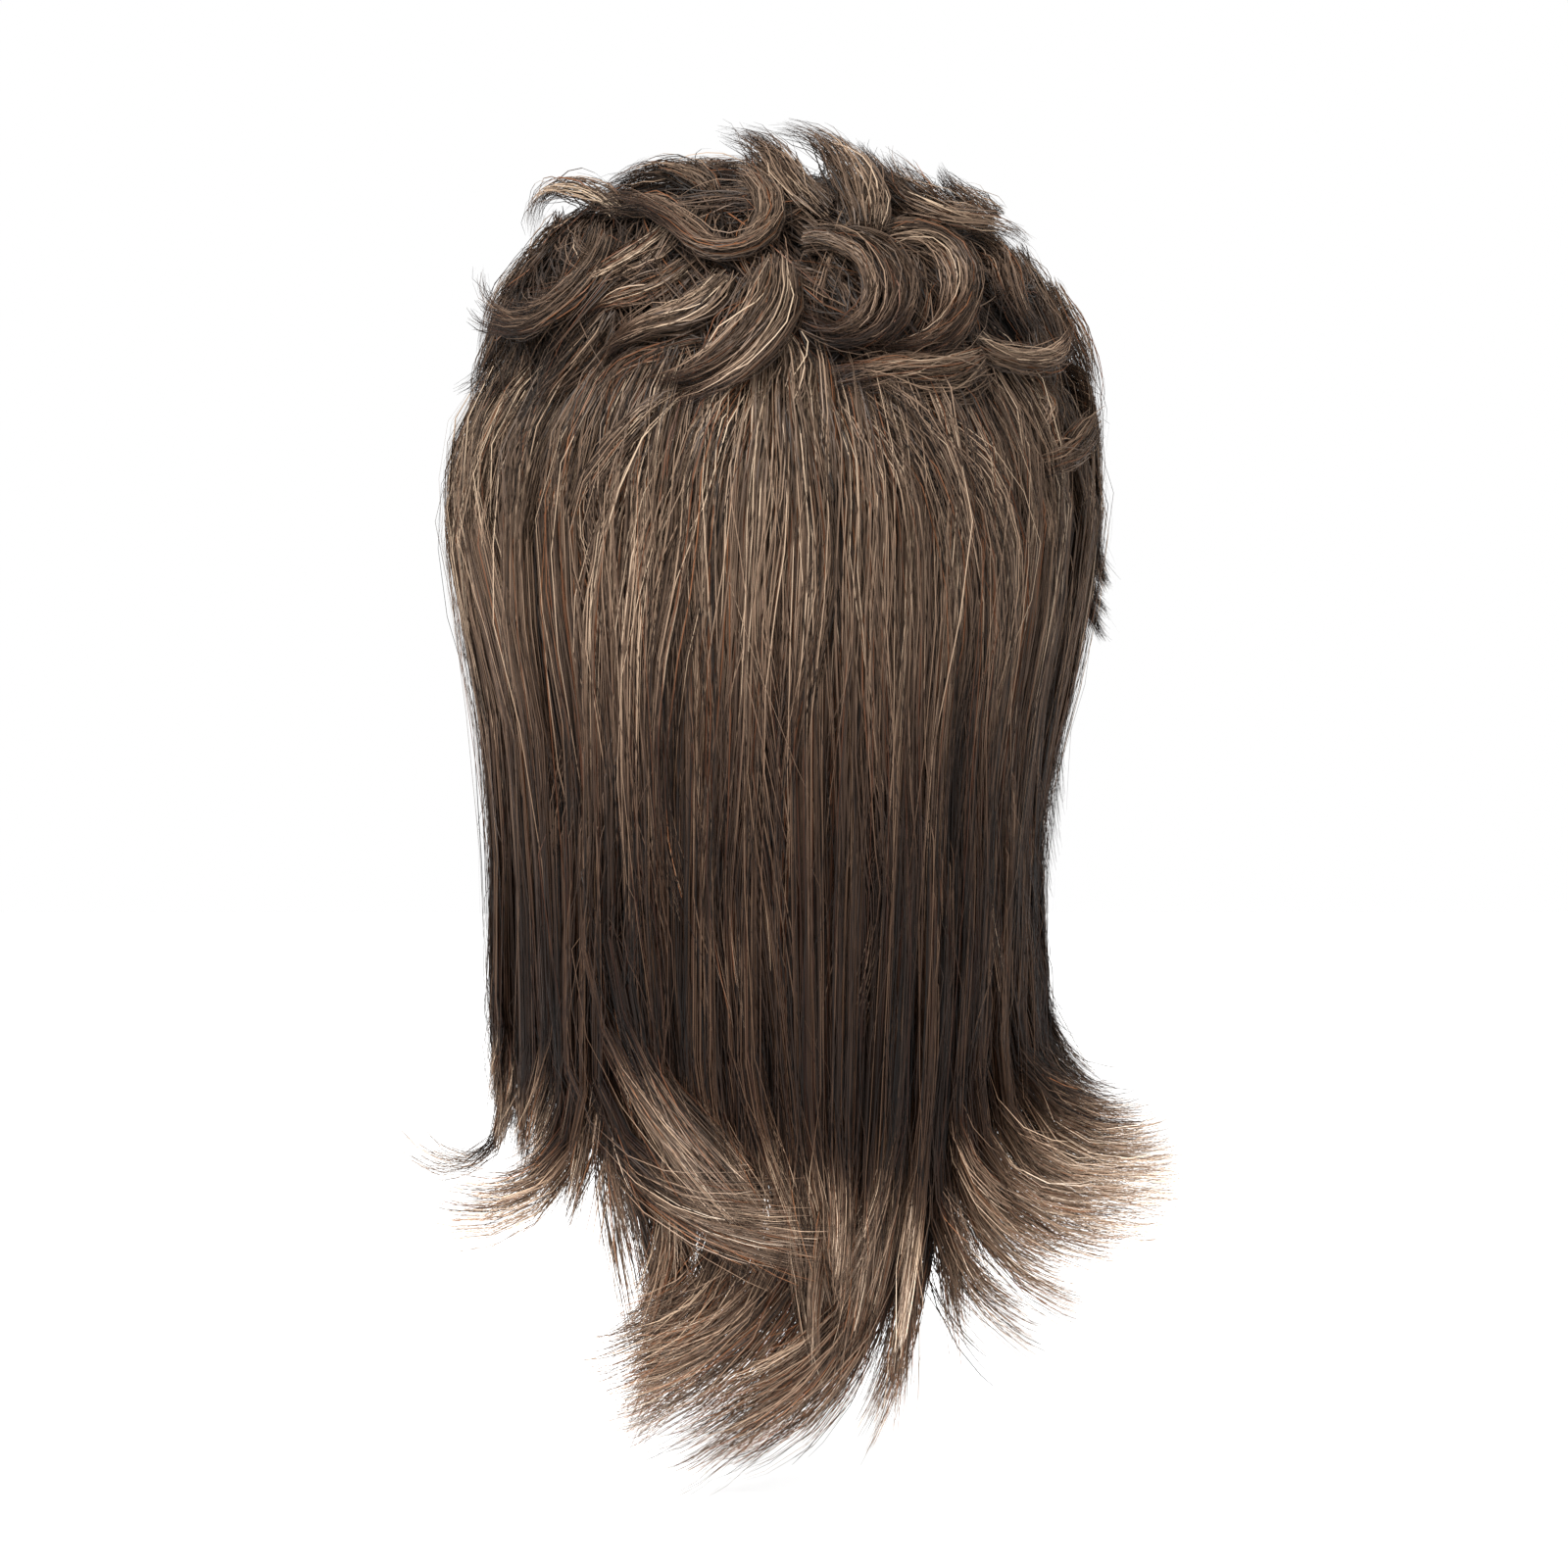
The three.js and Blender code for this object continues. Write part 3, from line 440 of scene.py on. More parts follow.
def hang(
    rows, count, deep, tone,
    short=0.2, fan=0.5, red=0.06, loose=0.04, close=0.6,
    scatter=6, uneven=0.012, pale_and_backlit_tips=0.8, thick=1.0,
):
    """The strands of hanging locks, from the locks' rows. Deep is the range of their depth from the
    fall's outer face, and tone is how light they are. Short, red and loose are the shares that are
    cut short, reddish or flying away. Fan draws the roots together, close narrows each lock towards
    its tip, scatter spreads its roots up and down and uneven its lengths, the next argument is how
    pale the tips get, partly their own paler colour and partly painted light shining through them,
    and thick is how wide the strands are."""

    def get(key):
        return rows[key][lock][:, None]

    share = np.cumsum(rows["wide"] * rows["fill"])
    share = share / share[-1]
    lock = np.searchsorted(share, rng.uniform(0, 0.9999, count))
    cut = rng.random((count, 1)) < short
    kept = np.where(cut, rng.uniform(0.5, 0.95, (count, 1)), 1.0)
    root = get("root") + rng.uniform(-1, 1, (count, 1)) * np.minimum(scatter, get("root") * 0.2)
    start = FALL_DROP * get("start") * rng.normal(1, uneven, (count, 1))
    start = root + (start - root) * kept
    body, turns = len(BODY_STEPS), len(FLIP_STEPS)
    t = np.concatenate([BODY_STEPS * 0.55, 0.55 + 0.45 * FLIP_STEPS / FLIP_PARTS])[None]
    late = np.concatenate([np.zeros(body), FLIP_STEPS / FLIP_PARTS])[None]
    drop = root + (start - root) * np.concatenate([BODY_STEPS, np.ones(turns)])[None]

    # The flip turns from straight down towards its aim
    length = FLIP_LENGTH * get("flip") * rng.uniform(0.7, 1.06, (count, 1))
    length = length * np.where(cut, 0.7, 1)
    fine = np.linspace(0, 1, FLIP_PARTS + 1)[None]
    bend = np.radians(get("curl") * rng.normal(1, 0.07, (count, 1)) * np.where(cut, 0.2, 1))
    bend = bend * fine ** get("ease")
    middle = (bend[:, 1:] + bend[:, :-1]) / 2
    sums = [
        np.pad(np.cumsum(part(middle), 1) / FLIP_PARTS, ((0, 0), (1, 0)))
        for part in (np.cos, np.sin)
    ]
    down, along_aim = [
        np.pad(part[:, FLIP_STEPS] * length, ((0, 0), (body, 0))) for part in sums
    ]

    # No strand hangs lower than the longest
    fits = np.clip((FALL_DROP - start) / down[:, -1:], 0, 1)
    down, along_aim = down * fits, along_aim * fits

    # Degrees from the middle of the back, with the left side's big wave, and slow and fine waves
    own = rng.uniform(-1, 1, (count, 1))
    narrow = 1 - close * smooth(late, 0, 1) ** 1.3
    at = get("turn") + get("wide") * own * narrow + get("drift") * smooth(t, 0.1, 0.6)
    drawn = 1 - smooth(np.abs(at - FALL_MIDDLE), 40, 75)
    drawn = fan * drawn * np.exp(-np.clip((drop - 42) / 30, 0, 9) ** 1.3)
    at = FALL_MIDDLE + (at - FALL_MIDDLE) * (1 - drawn)
    swing = np.exp(-(((drop - 100) / 45) ** 2)) * np.sin(drop / 14 + get("turn") / 3)
    at = at + 3.2 * get("swing") * smooth(-get("turn"), 44, 56) * swing
    at = at + get("sway") * np.sin(7 * t + get("phase")) * smooth(t, 0.05, 0.3)
    flyaway = rng.random(count) < loose
    at = at + wave(count, t, np.where(flyaway, 2.6, 0.45), 0.9)

    # Depth out from the head, less at the right side's waist and more at the left side below it
    depth = read(FALL_FACE, "drop", "depth", drop + down)
    waist = smooth(drop, 140, 180) - smooth(drop, 205, 240)
    depth = depth - 5.5 * waist * smooth(get("turn"), 52, 75)
    depth = depth + 3 * smooth(drop, 205, 240) * smooth(-get("turn"), 52, 75)
    depth = depth + rng.uniform(*deep, (count, 1)) * narrow + get("lift") * smooth(t, 0, 0.5)
    depth = depth + 1.6 * np.sqrt(1 - own**2) * narrow + 2 * flyaway[:, None]
    depth = np.maximum(LEAST_DEPTH, depth + wave(count, t, np.where(flyaway, 2.2, 0.4), 1.6))
    depth = LEAST_DEPTH + (depth - LEAST_DEPTH) * (0.55 + 0.45 * smooth(t, 0.0, 0.13))
    paths = place(at, drop + down, depth)
    face = np.radians(at + get("aim") + rng.normal(0, 5, (count, 1)))
    paths[..., 0] += np.sin(face) * along_aim
    paths[..., 1] -= np.cos(face) * along_aim

    # Colour: painted light by height, through the painted sheen and shade of the ramp along the hair,
    # and tips paler, partly their own colour and partly painted light shining through them
    painted_light_height = 0.8 * np.clip((drop + down) / FALL_DROP, 0, 1)
    tip = smooth(t, 0.58, 0.95) * rng.uniform(0.3, 1, (count, 1)) * np.where(cut, 0.3, pale_and_backlit_tips)
    width = thick * STRAND_WIDTH * rng.uniform(0.75, 1.15, count)
    width = width * np.where(flyaway, 0.7, 1)
    # Strands at the edges of a lock are darker: painted shade between the locks
    value = tone + rows["tone"][lock] + rng.normal(0, 0.23, count) - 0.14 * own[:, 0] ** 2
    out = outward(paths)
    side = unit(np.cross(unit(np.gradient(paths, axis=1)), out))
    domed = unit(out + side * (0.7 * own * narrow)[..., None])
    return ribbons(paths, width, tones(value, red), painted_light_height + (1 - painted_light_height) * tip, domed)


def fall():
    """The long hair in five pieces, from its inner face out."""
    columns = np.arange(80)
    turns = np.linspace(-101, 101, len(columns))
    ragged = 8 * np.sin(columns * 2.4) + 6 * np.sin(columns * 0.9)
    length = 200 + 48 * np.cos(np.radians(turns)) ** 2 + ragged
    share = np.linspace(0, 1, 30)[:, None]
    drops = 36 + share * length[None]
    face = read(FALL_FACE, "drop", "depth", drops)
    back = place(turns[None], drops, np.maximum(face - 9, LEAST_DEPTH))
    inner_drops = 120 + share * (length[None] - 88)
    inner = place(turns[None], inner_drops, LEAST_DEPTH + 4 * share + 0 * turns[None])
    # Sheets behind and inside the strands in the darkest tone, as painted shade of the hair deep in the
    # fall
    shade_sheets = [
        shade_sheet(back, np.linspace(0.1, 0.5, 30)),
        shade_sheet(inner[:, ::-1], np.linspace(0.2, 0.5, 30)),
    ]
    inside = lock_rows(OUTER_ENDS, 34, -100, 100, (118, 150), 0.04)
    make_mesh(
        "fall_hair_inside",
        *fuse([hang(inside, 1600, (-19, -12), 0.4, 0.35, 0, 0.08, thick=1.6)] + shade_sheets),
        "back_fall",
    )
    under = lock_rows(UNDER_ENDS, 28, -42, 66, (60, 120), 0.018, 0.8)
    under["drift"] = 0.4 * under["drift"]
    deep = lock_rows(OUTER_ENDS, 30, -100, 100, (50, 90), 0.03)
    make_mesh(
        "fall_hair_under",
        *fuse([
            hang(
                under, 4300, (-11, -3), 0.5, 0.2, 0.1, 0.14,
                close=0.1, uneven=0.015, pale_and_backlit_tips=0.7, thick=1.15,
            ),
            hang(deep, 1200, (-9, -5), 0.3, 0.3, 0.2, 0.1, thick=1.6),
        ]),
        "back_fall",
    )
    middle = lock_rows(OUTER_ENDS, 44, -99, 99, (40, 70), 0.03)
    make_mesh("fall_hair_middle", *hang(middle, 3600, (-6, -2), 0.36, 0.35, 0.3), "back_fall")
    outer = lock_rows(OUTER_ENDS, 50, -99, 99, (36, 52), 0.03)
    strands = hang(outer, 7400, (-3, 0.8), 0.53, 0.25, 0.25, loose=0.07)
    make_mesh("fall_hair_outer", *strands, "back_fall")
    count = len(LOCKS["turn"])
    rows = dict(LOCKS)
    rows["root"] = LOCKS["root"] * FALL_DROP
    rows["drift"] = np.zeros(count)
    rows["swing"] = rows["fill"] = np.ones(count)
    rows["sway"] = rows["phase"] = 0.5 * np.ones(count)

    # Shorter strands from under the crown's curls, over the top of the fall
    whorl = lock_rows(OUTER_ENDS, 16, -34, 46, (58, 64), 0.1)
    whorl["start"] = whorl["start"] * rng.uniform(0.5, 0.9, 16)
    whorl["curl"] = 0.2 * whorl["curl"]
    make_mesh(
        "fall_hair_locks",
        *fuse([
            hang(rows, 4000, (-2, 1.5), 0.5, 0, 0, close=0.7, scatter=36, uneven=0.007, pale_and_backlit_tips=1.0),
            hang(whorl, 900, (0, 2.5), 0.58, 0.6, 0.95),
        ]),
        "back_fall",
    )


def curl_guide(row, steps=28):
    """The way of a curl over the head: points, the way out of the head, and the way across."""

    def on_head(point):
        ahead = unit((point - HEAD_CENTRE) / HEAD)
        return ahead * HEAD + HEAD_CENTRE, unit(ahead / HEAD)

    at, out = on_head(place(row["turn"], row["drop"] * CROWN_HEIGHT, 0.0))
    up = np.array([0, 1.0 if abs((row["turn"] + 180) % 360 - 180) <= 90 else -1.0, 1.0])
    up = unit(up - up.dot(out) * out)
    right = np.cross(up, out)
    start = math.radians(row["heading"])
    way = right * math.cos(start) + up * math.sin(start)
    points, outs = [], []
    for t in np.linspace(0, 1, steps):
        polar = math.degrees(math.acos(min(1, max(0, 1 + at[2] / CROWN_HEIGHT))))
        arch = row["lift"] * math.sin(math.pi * (0.1 + 0.8 * t)) + row["tip"] * t * t
        aside = math.degrees(math.atan2(at[0] / HALF_BREADTH, -at[1] / HALF_LENGTH))
        depth = crown_face(polar, aside) - CURL_SINK + CURL_LIFT * arch
        points.append(at + out * depth)
        outs.append(out)
        turn = math.radians(row["bend"] if t < 0.5 else row["hook"]) * 2 / (steps - 1)
        way = way * math.cos(turn) + np.cross(out, way) * math.sin(turn)
        step = CURL_LENGTH * row["long"] / (steps - 1)
        at, out = on_head(at + way * step / (1 + depth / HEAD_RADIUS))
        way = unit(way - way.dot(out) * out)
    points, outs = np.array(points), np.array(outs)
    return points, outs, unit(np.cross(np.gradient(points, axis=0), outs))


def crown_size(points, lift):
    """Half axes of the crown's outer face towards each point, with this much more depth."""
    ahead = unit((points - HEAD_CENTRE) / HEAD)
    polar = np.degrees(np.arccos(np.clip(ahead[..., 2], -1, 1)))
    depth = (crown_face(polar, 0.0) + lift)[..., None]
    return HEAD + depth


def back_guide(row, steps=28):
    """The same for a curl drawn square from behind, laid on the crown."""
    t = np.linspace(0, 1, steps)
    turned = row["bend"] * np.minimum(t, 0.5) * 2 + row["hook"] * np.maximum(t - 0.5, 0) * 2
    angle = np.radians(row["heading"] + turned)
    step = CURL_LENGTH * row["long"] / (steps - 1)
    x = HALF_BREADTH * row["across"] + np.cumsum(np.cos(angle)) * step
    z = -CROWN_HEIGHT * row["down"] + np.cumsum(np.sin(angle)) * step
    arch = row["lift"] * np.sin(math.pi * (0.1 + 0.8 * t)) + row["tip"] * t * t
    lift = CURL_LIFT * arch - CURL_SINK

    # Each point's place forward, by halving between one outside the crown and one inside it
    near, far = np.full(steps, -160.0), np.full(steps, -12.0)
    for _ in range(24):
        y = (near + far) / 2
        points = np.stack([x, y, z], -1)
        shape = (points - HEAD_CENTRE) / crown_size(points, lift)
        outside = np.linalg.norm(shape, axis=-1) > 1
        near, far = np.where(outside, y, near), np.where(outside, far, y)

    # It leaves the crown rather than turn sharply over its edge
    gap = np.abs(np.arange(steps)[:, None] - np.arange(steps)[None]) * step
    y = (y[None] + 0.9 * gap).min(1)
    y = np.convolve(np.pad(y, 3, "edge"), np.ones(7) / 7, "valid")
    points = np.stack([x, y, z], -1)
    outs = unit((points - HEAD_CENTRE) / crown_size(points, lift) ** 2)
    return points, outs, unit(np.cross(np.gradient(points, axis=0), outs))


def bundle(row, count, mean, steps=12, sink=0.0):
    """The strands of one curl: a few locks side by side on its way, each narrowing to its own tip."""
    points, outs, across = back_guide(row) if "across" in row else curl_guide(row)
    whole = np.linspace(0, 1, len(points))

    def pick(values):
        return np.stack([np.interp(t, whole, values[:, axis]) for axis in range(3)], -1)

    width = CURL_WIDTH * row["wide"]
    thickness = CURL_THICKNESS * min(1, 0.25 + row["wide"])
    number = 2 + round(8 * row["wide"])
    lock = rng.integers(0, number, count)
    centre = (np.linspace(-0.85, 0.85, number) + rng.normal(0, 0.1, number))[lock][:, None]
    last = rng.uniform(0.62, 1.0, number)[lock][:, None]
    fray = rng.normal(0, 0.5, number)[lock][:, None] + rng.normal(0, 0.1, (count, 1))
    lifted = rng.uniform(-1.5, 2.5, number)[lock][:, None]
    tint = rng.normal(0, 0.12, number)[lock]
    span = np.linspace(0, 1, steps)[None]
    begin = rng.uniform(0, 0.08, (count, 1))
    finish = np.clip(last * rng.normal(0.97, 0.05, (count, 1)), 0.5, 1.0)
    t = begin + (finish - begin) * span

    # Across the curl and out from it, in shares of its width and thickness, then in millimetres
    own = rng.uniform(-1, 1, (count, 1))
    lock_width = 0.34 * (1 - 0.8 * smooth(span, 0.35, 1.0) ** 1.2)
    full = np.minimum(1, 0.5 + 2.5 * t) * (1 - 0.45 * np.clip((t - 0.3) / 0.7, 0, 1) ** 2)
    u = centre * full + own * lock_width * full + fray * t**3
    layer = rng.uniform(-0.8, 1.0, (count, 1))
    dome = np.sqrt(np.clip(1.25 - u**2, 0.15, 1.0))
    loose = np.where(rng.random(count) < 0.26, 2.8, 0.8)
    side = width / 2 * u + wave(count, t, loose, 1.1)
    rise = thickness / 2 * layer * dome * (1 - 0.5 * span**2) + lifted * np.sin(np.pi * t)
    rise = rise + wave(count, t, 0.7 * loose, 1.3) - sink
    side = side + rng.normal(0, 0.22, (count, steps))
    rise = rise + rng.normal(0, 0.18, (count, steps))
    across, out = unit(pick(across)), unit(pick(outs))
    paths = pick(points) + across * side[..., None] + out * rise[..., None]

    # Colour, with painted shade on the strands low in the curl and at the edges of its locks and of the
    # curl, and paler tips, partly their own colour and partly painted light
    tip = smooth(span, 0.7, 1.0) * rng.uniform(0.2, 0.9, (count, 1))
    along = 0.08 + 0.2 * span + 0.5 * tip
    value = mean + row["tone"] + tint + 0.12 * layer[:, 0] + rng.normal(0, 0.15, count)
    value = value - 0.1 * own[:, 0] ** 2 - 0.12 * np.clip(u[:, 4], -1, 1) ** 2
    width = STRAND_WIDTH * rng.uniform(0.75, 1.15, count)
    domed = unit(out + across * (0.8 * own * full + 0.5 * u)[..., None])
    return ribbons(paths, width, tones(value, 0.05), along, domed)


def small_curls(count):
    """Rows for the smaller curls that fill in under and between the main ones."""
    rows = []
    for i in range(count):
        sweep = rng.choice([-1, 1])
        rows.append({
            "turn": -180 + 360 * ((i * 0.618) % 1),
            "drop": 0.02 + 0.38 * ((i * 0.371 + 0.2) % 1),
            "heading": 270 + sweep * rng.uniform(5, 60),
            "bend": sweep * rng.uniform(10, 70) * rng.choice([-1, 1]),
            "hook": -sweep * rng.uniform(30, 130),
            "long": rng.uniform(0.5, 0.9),
            "wide": rng.uniform(0.4, 0.7),
            "lift": rng.uniform(0.1, 0.7),
            "tip": rng.uniform(0, 0.5),
            "tone": 0.0,
        })
    return rows


def crown_base(count):
    """Short strands that lie over the crown, away from its top, so that no net shows between curls."""
    span = np.linspace(0, 1, 8)[None]
    turn = rng.uniform(-180, 180, (count, 1))
    start = rng.uniform(0.0, 0.8, (count, 1))
    polar = start + span * rng.uniform(0.3, 0.6, (count, 1))
    bend = rng.normal(24, 12, (count, 1))
    polar = np.clip(polar, 0.02, 1.4)
    face = crown_face(np.degrees(polar), turn + bend * span)
    depth = face - 11 + 8 * rng.random((count, 1)) * smooth(span, -0.2, 0.5)
    drop = CROWN_HEIGHT * (1 - np.cos(polar))
    paths = place(turn + bend * span, drop, depth + wave(count, span, np.full(count, 0.8), 1.2))
    value = 0.24 + rng.normal(0, 0.14, count)
    width = STRAND_WIDTH * rng.uniform(1.0, 1.5, count)
    return ribbons(paths, width, tones(value, 0.02), 0.1 + 0.2 * span + 0 * turn)


def crown():
    """The curls over the crown, in three pieces."""
    back = [{k: BACK_CURLS[k][i] for k in BACK_CURLS} for i in range(len(BACK_CURLS["down"]))]
    top = [{k: TOP_CURLS[k][i] for k in TOP_CURLS} for i in range(len(TOP_CURLS["turn"]))]
    turns = np.linspace(-180, 180, 61)
    polars = np.linspace(0.001, 1.0, 16)
    drops = CROWN_HEIGHT * (1 - np.cos(polars))
    deep = crown_face(np.degrees(polars)[:, None], turns[None]) - 13
    grid = place(turns[None], drops[:, None], deep)

    # Piece, rows, strands in a curl of full width, tone, and how far it is sunk
    groups = [
        ("crown_hair_under", small_curls(84), 90, 0.36, 2.0),
        ("crown_hair_back", back, 410, 0.43, 0.0),
        ("crown_hair_top", top, 270, 0.44, 0.0),
    ]
    for name, rows, count, mean, sink in groups:
        parts = [
            bundle(row, int(count * row["wide"] * (0.6 + 0.5 * row["long"])), mean, sink=sink)
            for row in rows
        ]
        # The piece of sunk curls also gets short strands over the crown and a sheet in the darkest
        # tone, as painted shade under the curls
        if sink:
            parts += [crown_base(4200), shade_sheet(grid, np.linspace(0.1, 0.3, 16))]
        make_mesh(name, *fuse(parts), "crown_curls")


# Short hair over the ears and the forehead: piece, node, from and to in degrees from the middle of
# the back, its lowest drop, locks, strands, and lean in degrees
SHORT_HAIR = (
    ("side_hair_right_strands", "side_hair_right", 100, 141, 124, 6, 1100, -8),
    ("side_hair_left_strands", "side_hair_left", -141, -100, 124, 6, 1100, 8),
    ("fringe_strands", "fringe", 141, 219, 92, 9, 1600, -5),
)


def short_hair(name, node, low, high, bottom, locks, count, lean):
    """Short hair that hangs over an ear or the forehead, gathered into locks."""
    turn = rng.uniform(low, high, (count, 1))
    centres = np.linspace(low, high, locks)
    jitter = np.sin(np.arange(locks) * 2.3)
    lock = np.abs(turn - centres[None]).argmin(1)
    own = jitter[lock][:, None]
    t = np.linspace(0, 1, 10)[None]
    root = rng.uniform(26, 46, (count, 1))
    end = bottom * (1 + 0.09 * own) * (1 - np.abs(rng.normal(0, 0.05, (count, 1))))
    drop = root + (end - root) * t * (1.2 - 0.2 * t * t)
    at = turn + (centres[lock][:, None] - turn) * 0.85 * smooth(t, 0.2, 1)
    at = at + lean * (1 + 0.5 * own) * t**2 + wave(count, t, np.full(count, 0.8), 1.1)
    depth = rng.uniform(8, 27, (count, 1)) * (1 - 0.35 * t) * smooth(t, -0.4, 0.25)
    depth = depth + 6 * t**2 * (1 + 0.6 * own)
    paths = place(at, drop, depth + wave(count, t, np.full(count, 0.7), 1.2))
    # A sheet under the strands in the darkest tone, as painted shade
    turns = np.linspace(low, high, 16)
    drops = np.linspace(24, bottom * 0.72, 12)
    backing = place(turns[None], drops[:, None], 6.0 + 0 * turns[None])
    back = shade_sheet(backing, np.linspace(0.1, 0.3, 12))
    width = STRAND_WIDTH * rng.uniform(0.85, 1.2, count)
    value = 0.47 + 0.1 * jitter[lock] + rng.normal(0, 0.13, count)
    # Place on the ramp along the hair, ending in paler tips, partly their own colour and partly painted
    # light shining through them
    along = 0.1 + 0.2 * t + 0.5 * smooth(t, 0.75, 1) * rng.uniform(0.2, 0.9, (count, 1))
    made = fuse([ribbons(paths, width, tones(value, 0.05), along), back])
    make_mesh(name, *made, node)


# Materials


def node_of(tree, kind, **values):
    """A new node with these settings."""
    node = tree.nodes.new(kind)
    for key, value in values.items():
        setattr(node, key, value)
    return node


def colour(r, g, b):
    """A linear colour from the usual 0 to 255 values."""
    shares = (r / 255, g / 255, b / 255)
    linear = [c / 12.92 if c <= 0.04045 else ((c + 0.055) / 1.055) ** 2.4 for c in shares]
    return (*linear, 1.0)


def ramp(tree, source, stops):
    """A colour ramp over a socket's value."""
    node = node_of(tree, "ShaderNodeValToRGB")
    elements = node.color_ramp.elements
    while len(elements) < len(stops):
        elements.new(0.5)
    for element, (at, value) in zip(elements, stops):
        element.position = at
        element.color = value
    tree.links.new(source, node.inputs["Fac"])
    return node.outputs["Color"]


def maths(tree, operation, a, b=None):
    """A calculation with numbers or sockets."""
    node = node_of(tree, "ShaderNodeMath", operation=operation)
    for socket, value in zip(node.inputs, (a, b)):
        if value is None:
            continue
        if isinstance(value, (int, float)):
            socket.default_value = value
        else:
            tree.links.new(value, socket)
    return node.outputs[0]


def mix(tree, blend, factor, a, b):
    """Two colours blended."""
    node = node_of(tree, "ShaderNodeMix", data_type="RGBA", blend_type=blend)
    for socket, value in zip((node.inputs[0], node.inputs[6], node.inputs[7]), (factor, a, b)):
        if isinstance(value, (int, float, tuple)):
            socket.default_value = value
        else:
            tree.links.new(value, socket)
    return node.outputs[2]


def hair_material():
    """Hair coloured by each strand's tone column, and by the place along it with painted sheen, painted
    shade and paler tips.
    """
    material = bpy.data.materials.new("hair")
    material.use_nodes = True
    tree = material.node_tree
    shader = tree.nodes["Principled BSDF"]
    uv = node_of(tree, "ShaderNodeUVMap", uv_map="OFBake")
    parts = node_of(tree, "ShaderNodeSeparateXYZ")
    tree.links.new(uv.outputs["UV"], parts.inputs[0])
    column = maths(tree, "MULTIPLY", parts.outputs[0], TONES)
    column = maths(tree, "FLOOR", column)
    column = maths(tree, "DIVIDE", column, TONES)
    strand = ramp(tree, column, [
        (0.0, colour(13, 9, 6)),
        (0.2, colour(37, 27, 20)),
        (0.42, colour(77, 63, 53)),
        (0.62, colour(119, 101, 87)),
        (0.79, colour(168, 151, 134)),
        (0.82, colour(74, 46, 31)),
        (1.0, colour(108, 72, 48)),
    ])
    # Painted light along the strand: on the long hair the place is its height, with a painted shadow
    # just under the curls, a painted sheen band on the upper back and painted shade lower down; the
    # last part is for paler tips
    along = ramp(tree, parts.outputs[1], [
        (0.0, colour(150, 148, 146)),
        (0.12, colour(206, 201, 192)),
        (0.24, colour(216, 208, 199)),
        (0.33, colour(160, 147, 137)),
        (0.42, colour(112, 97, 86)),
        (0.55, colour(86, 70, 59)),
        (0.68, colour(112, 95, 82)),
        (0.84, colour(228, 214, 198)),
        (1.0, colour(255, 252, 246)),
    ])
    # The tips made paler and brighter, partly their own paler colour and partly painted light shining
    # through the thin tips
    pale = ramp(tree, parts.outputs[1], [(0.66, (0, 0, 0, 1)), (1.0, (1, 1, 1, 1))])
    shaded = mix(tree, "MULTIPLY", 1.0, strand, along)
    tips_paled_and_lit = mix(tree, "MULTIPLY", pale, shaded, (2.1, 2.3, 2.55, 1.0))
    tree.links.new(tips_paled_and_lit, shader.inputs["Base Color"])
    shader.inputs["Roughness"].default_value = 0.48
    shader.inputs["Specular IOR Level"].default_value = 0.1
    return material


def cloth_material(name, tint, dark, scale, roughness):
    """Knitted net or elastic: fine rows in two directions, as colour and bump."""
    material = bpy.data.materials.new(name)
    material.use_nodes = True
    tree = material.node_tree
    shader = tree.nodes["Principled BSDF"]
    place_node = node_of(tree, "ShaderNodeTexCoord")
    waves = []
    for direction in ("X", "Z"):
        bands = node_of(tree, "ShaderNodeTexWave", wave_type="BANDS", bands_direction=direction)
        bands.inputs["Scale"].default_value = scale
        bands.inputs["Distortion"].default_value = 1.5
        tree.links.new(place_node.outputs["Object"], bands.inputs["Vector"])
        waves.append(bands.outputs["Fac"])
    weave = maths(tree, "MULTIPLY", waves[0], waves[1])
    tint_out = ramp(tree, weave, [(0.0, colour(*dark)), (0.5, colour(*tint)), (1.0, colour(*tint))])
    tree.links.new(tint_out, shader.inputs["Base Color"])
    bump = node_of(tree, "ShaderNodeBump")
    bump.inputs["Strength"].default_value = 0.5
    bump.inputs["Distance"].default_value = 0.0006
    tree.links.new(weave, bump.inputs["Height"])
    tree.links.new(bump.outputs["Normal"], shader.inputs["Normal"])
    shader.inputs["Roughness"].default_value = roughness
    return material


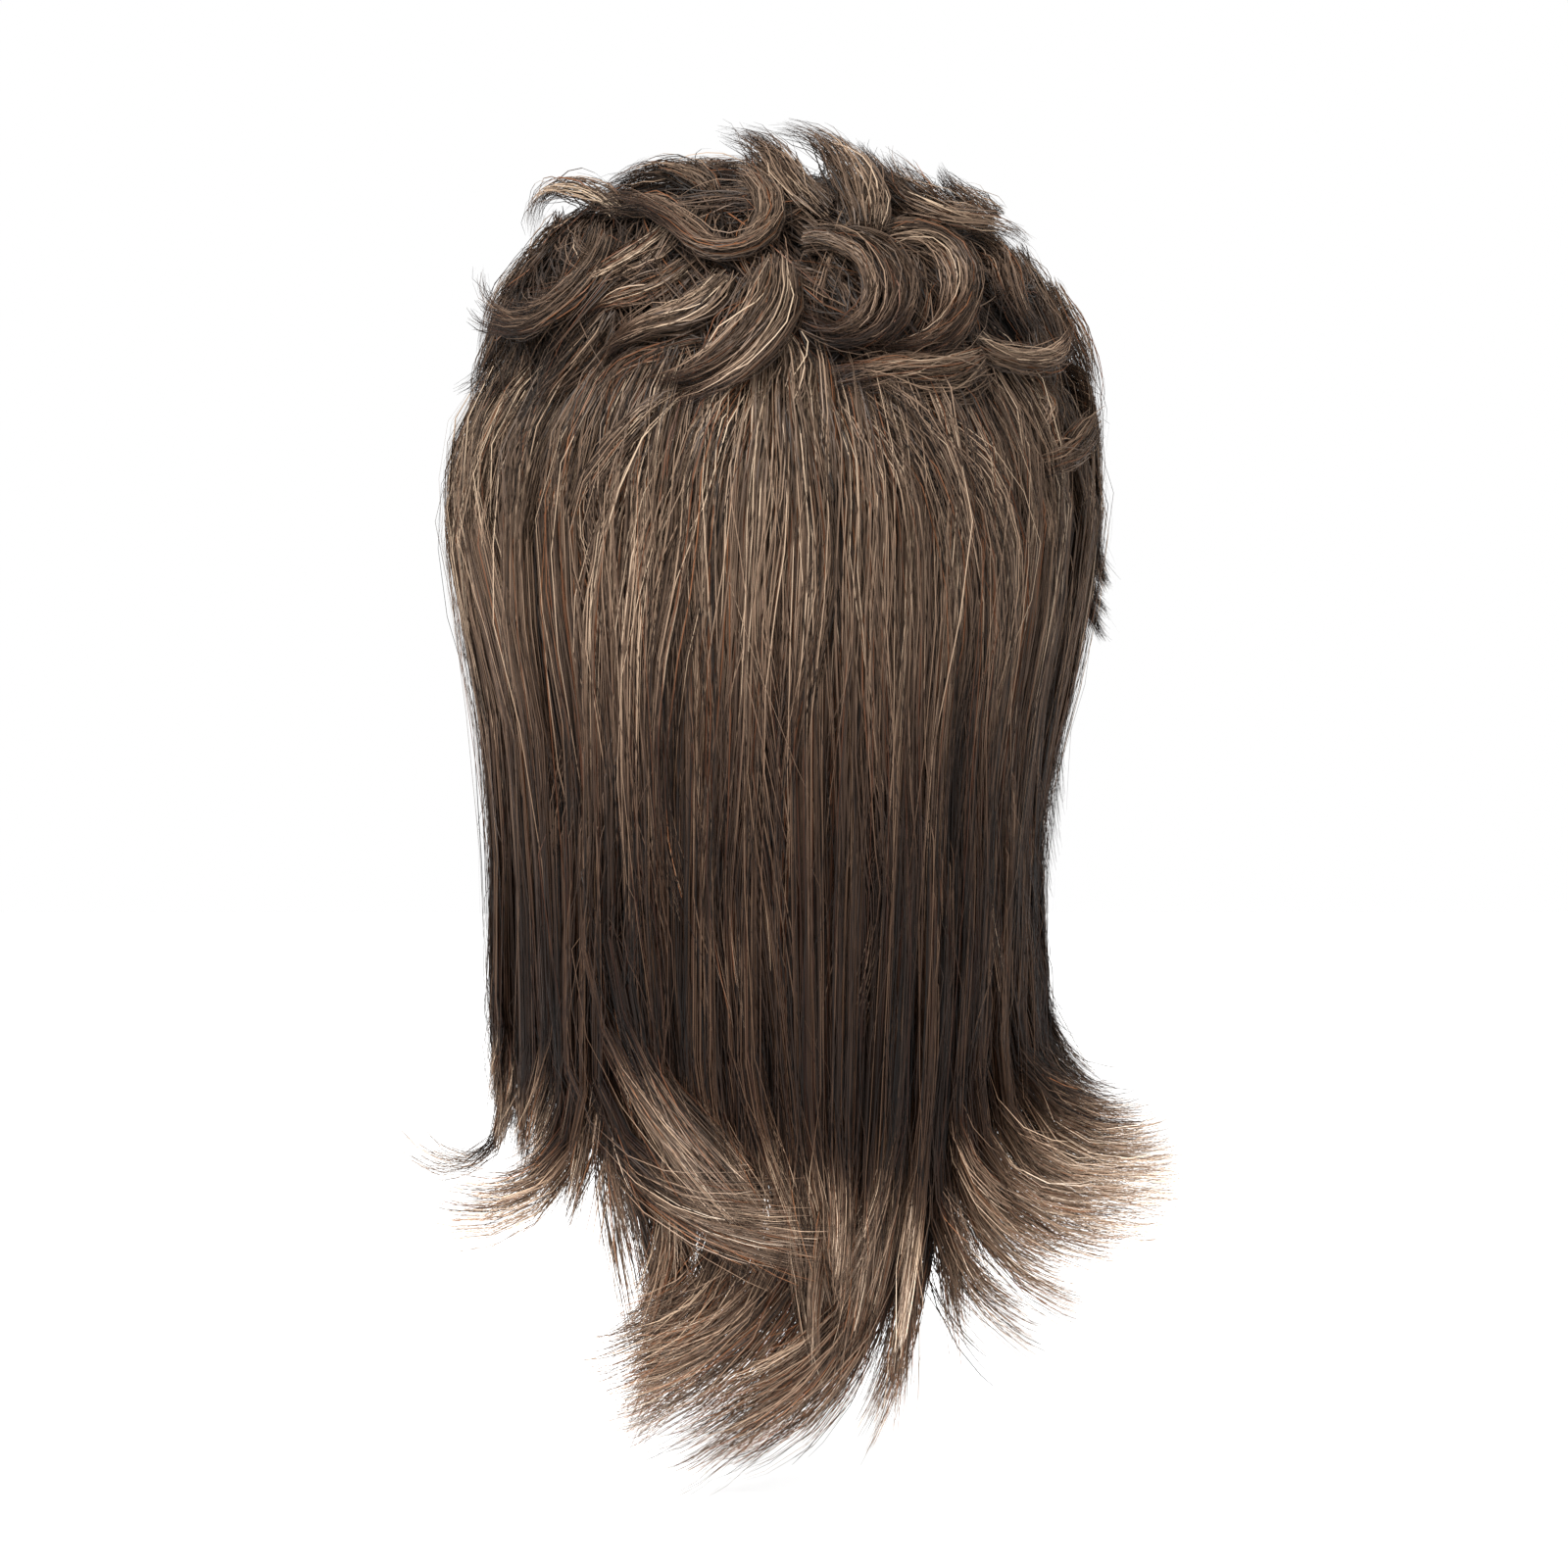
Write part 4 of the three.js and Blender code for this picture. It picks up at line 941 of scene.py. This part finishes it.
def dress():
    """Gives the hair, the cap and the band their materials."""
    hair = hair_material()
    cloths = {
        "cap": cloth_material("cap_net", (74, 58, 46), (34, 26, 20), 260, 0.9),
        "edge_band": cloth_material("elastic", (58, 46, 38), (30, 24, 20), 520, 0.8),
    }
    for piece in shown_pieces():
        node = piece.get("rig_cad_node")
        material = cloths.get(node, hair)
        piece.data.materials.clear()
        piece.data.materials.append(material)


# Floor, light and camera


def stage():
    """The floor, the light and the photograph's camera."""
    bpy.ops.mesh.primitive_plane_add(size=12, location=(0, 0, FLOOR_LEVEL))
    floor = bpy.context.object
    floor.name = "floor"
    material = bpy.data.materials.new("floor")
    material.use_nodes = True
    shader = material.node_tree.nodes["Principled BSDF"]
    shader.inputs["Base Color"].default_value = (0.8, 0.8, 0.8, 1)
    shader.inputs["Roughness"].default_value = 0.9
    shader.inputs["Emission Color"].default_value = (1, 1, 1, 1)
    shader.inputs["Emission Strength"].default_value = 0.45
    floor.data.materials.append(material)

    world = bpy.data.worlds.new("world")
    bpy.context.scene.world = world
    world.use_nodes = True
    world.node_tree.nodes["Background"].inputs["Color"].default_value = (1, 1, 1, 1)
    world.node_tree.nodes["Background"].inputs["Strength"].default_value = 1.0

    # Name, place, size and power
    lights = [
        ("key", (-0.6, -1.25, 1.1), 0.6, 95),
        ("fill", (0.9, -1.2, 0.5), 0.9, 14),
    ]
    for name, at, size, power in lights:
        data = bpy.data.lights.new(name, "AREA")
        data.size = size
        data.energy = power
        lamp = bpy.data.objects.new(name, data)
        lamp.location = at
        aim = Vector(LIGHTS_AIM) - Vector(at)
        lamp.rotation_euler = aim.to_track_quat("-Z", "Y").to_euler()
        bpy.context.collection.objects.link(lamp)

    data = bpy.data.cameras.new("camera")
    data.lens = 100
    data.sensor_width = 36
    camera = bpy.data.objects.new("camera", data)
    camera.location = CAMERA_AT
    camera.rotation_euler = (math.radians(90), 0, 0)
    bpy.context.collection.objects.link(camera)
    bpy.context.scene.camera = camera
    bpy.context.scene.view_settings.view_transform = "Standard"


fall()
crown()
for row in SHORT_HAIR:
    short_hair(*row)
dress()
stage()
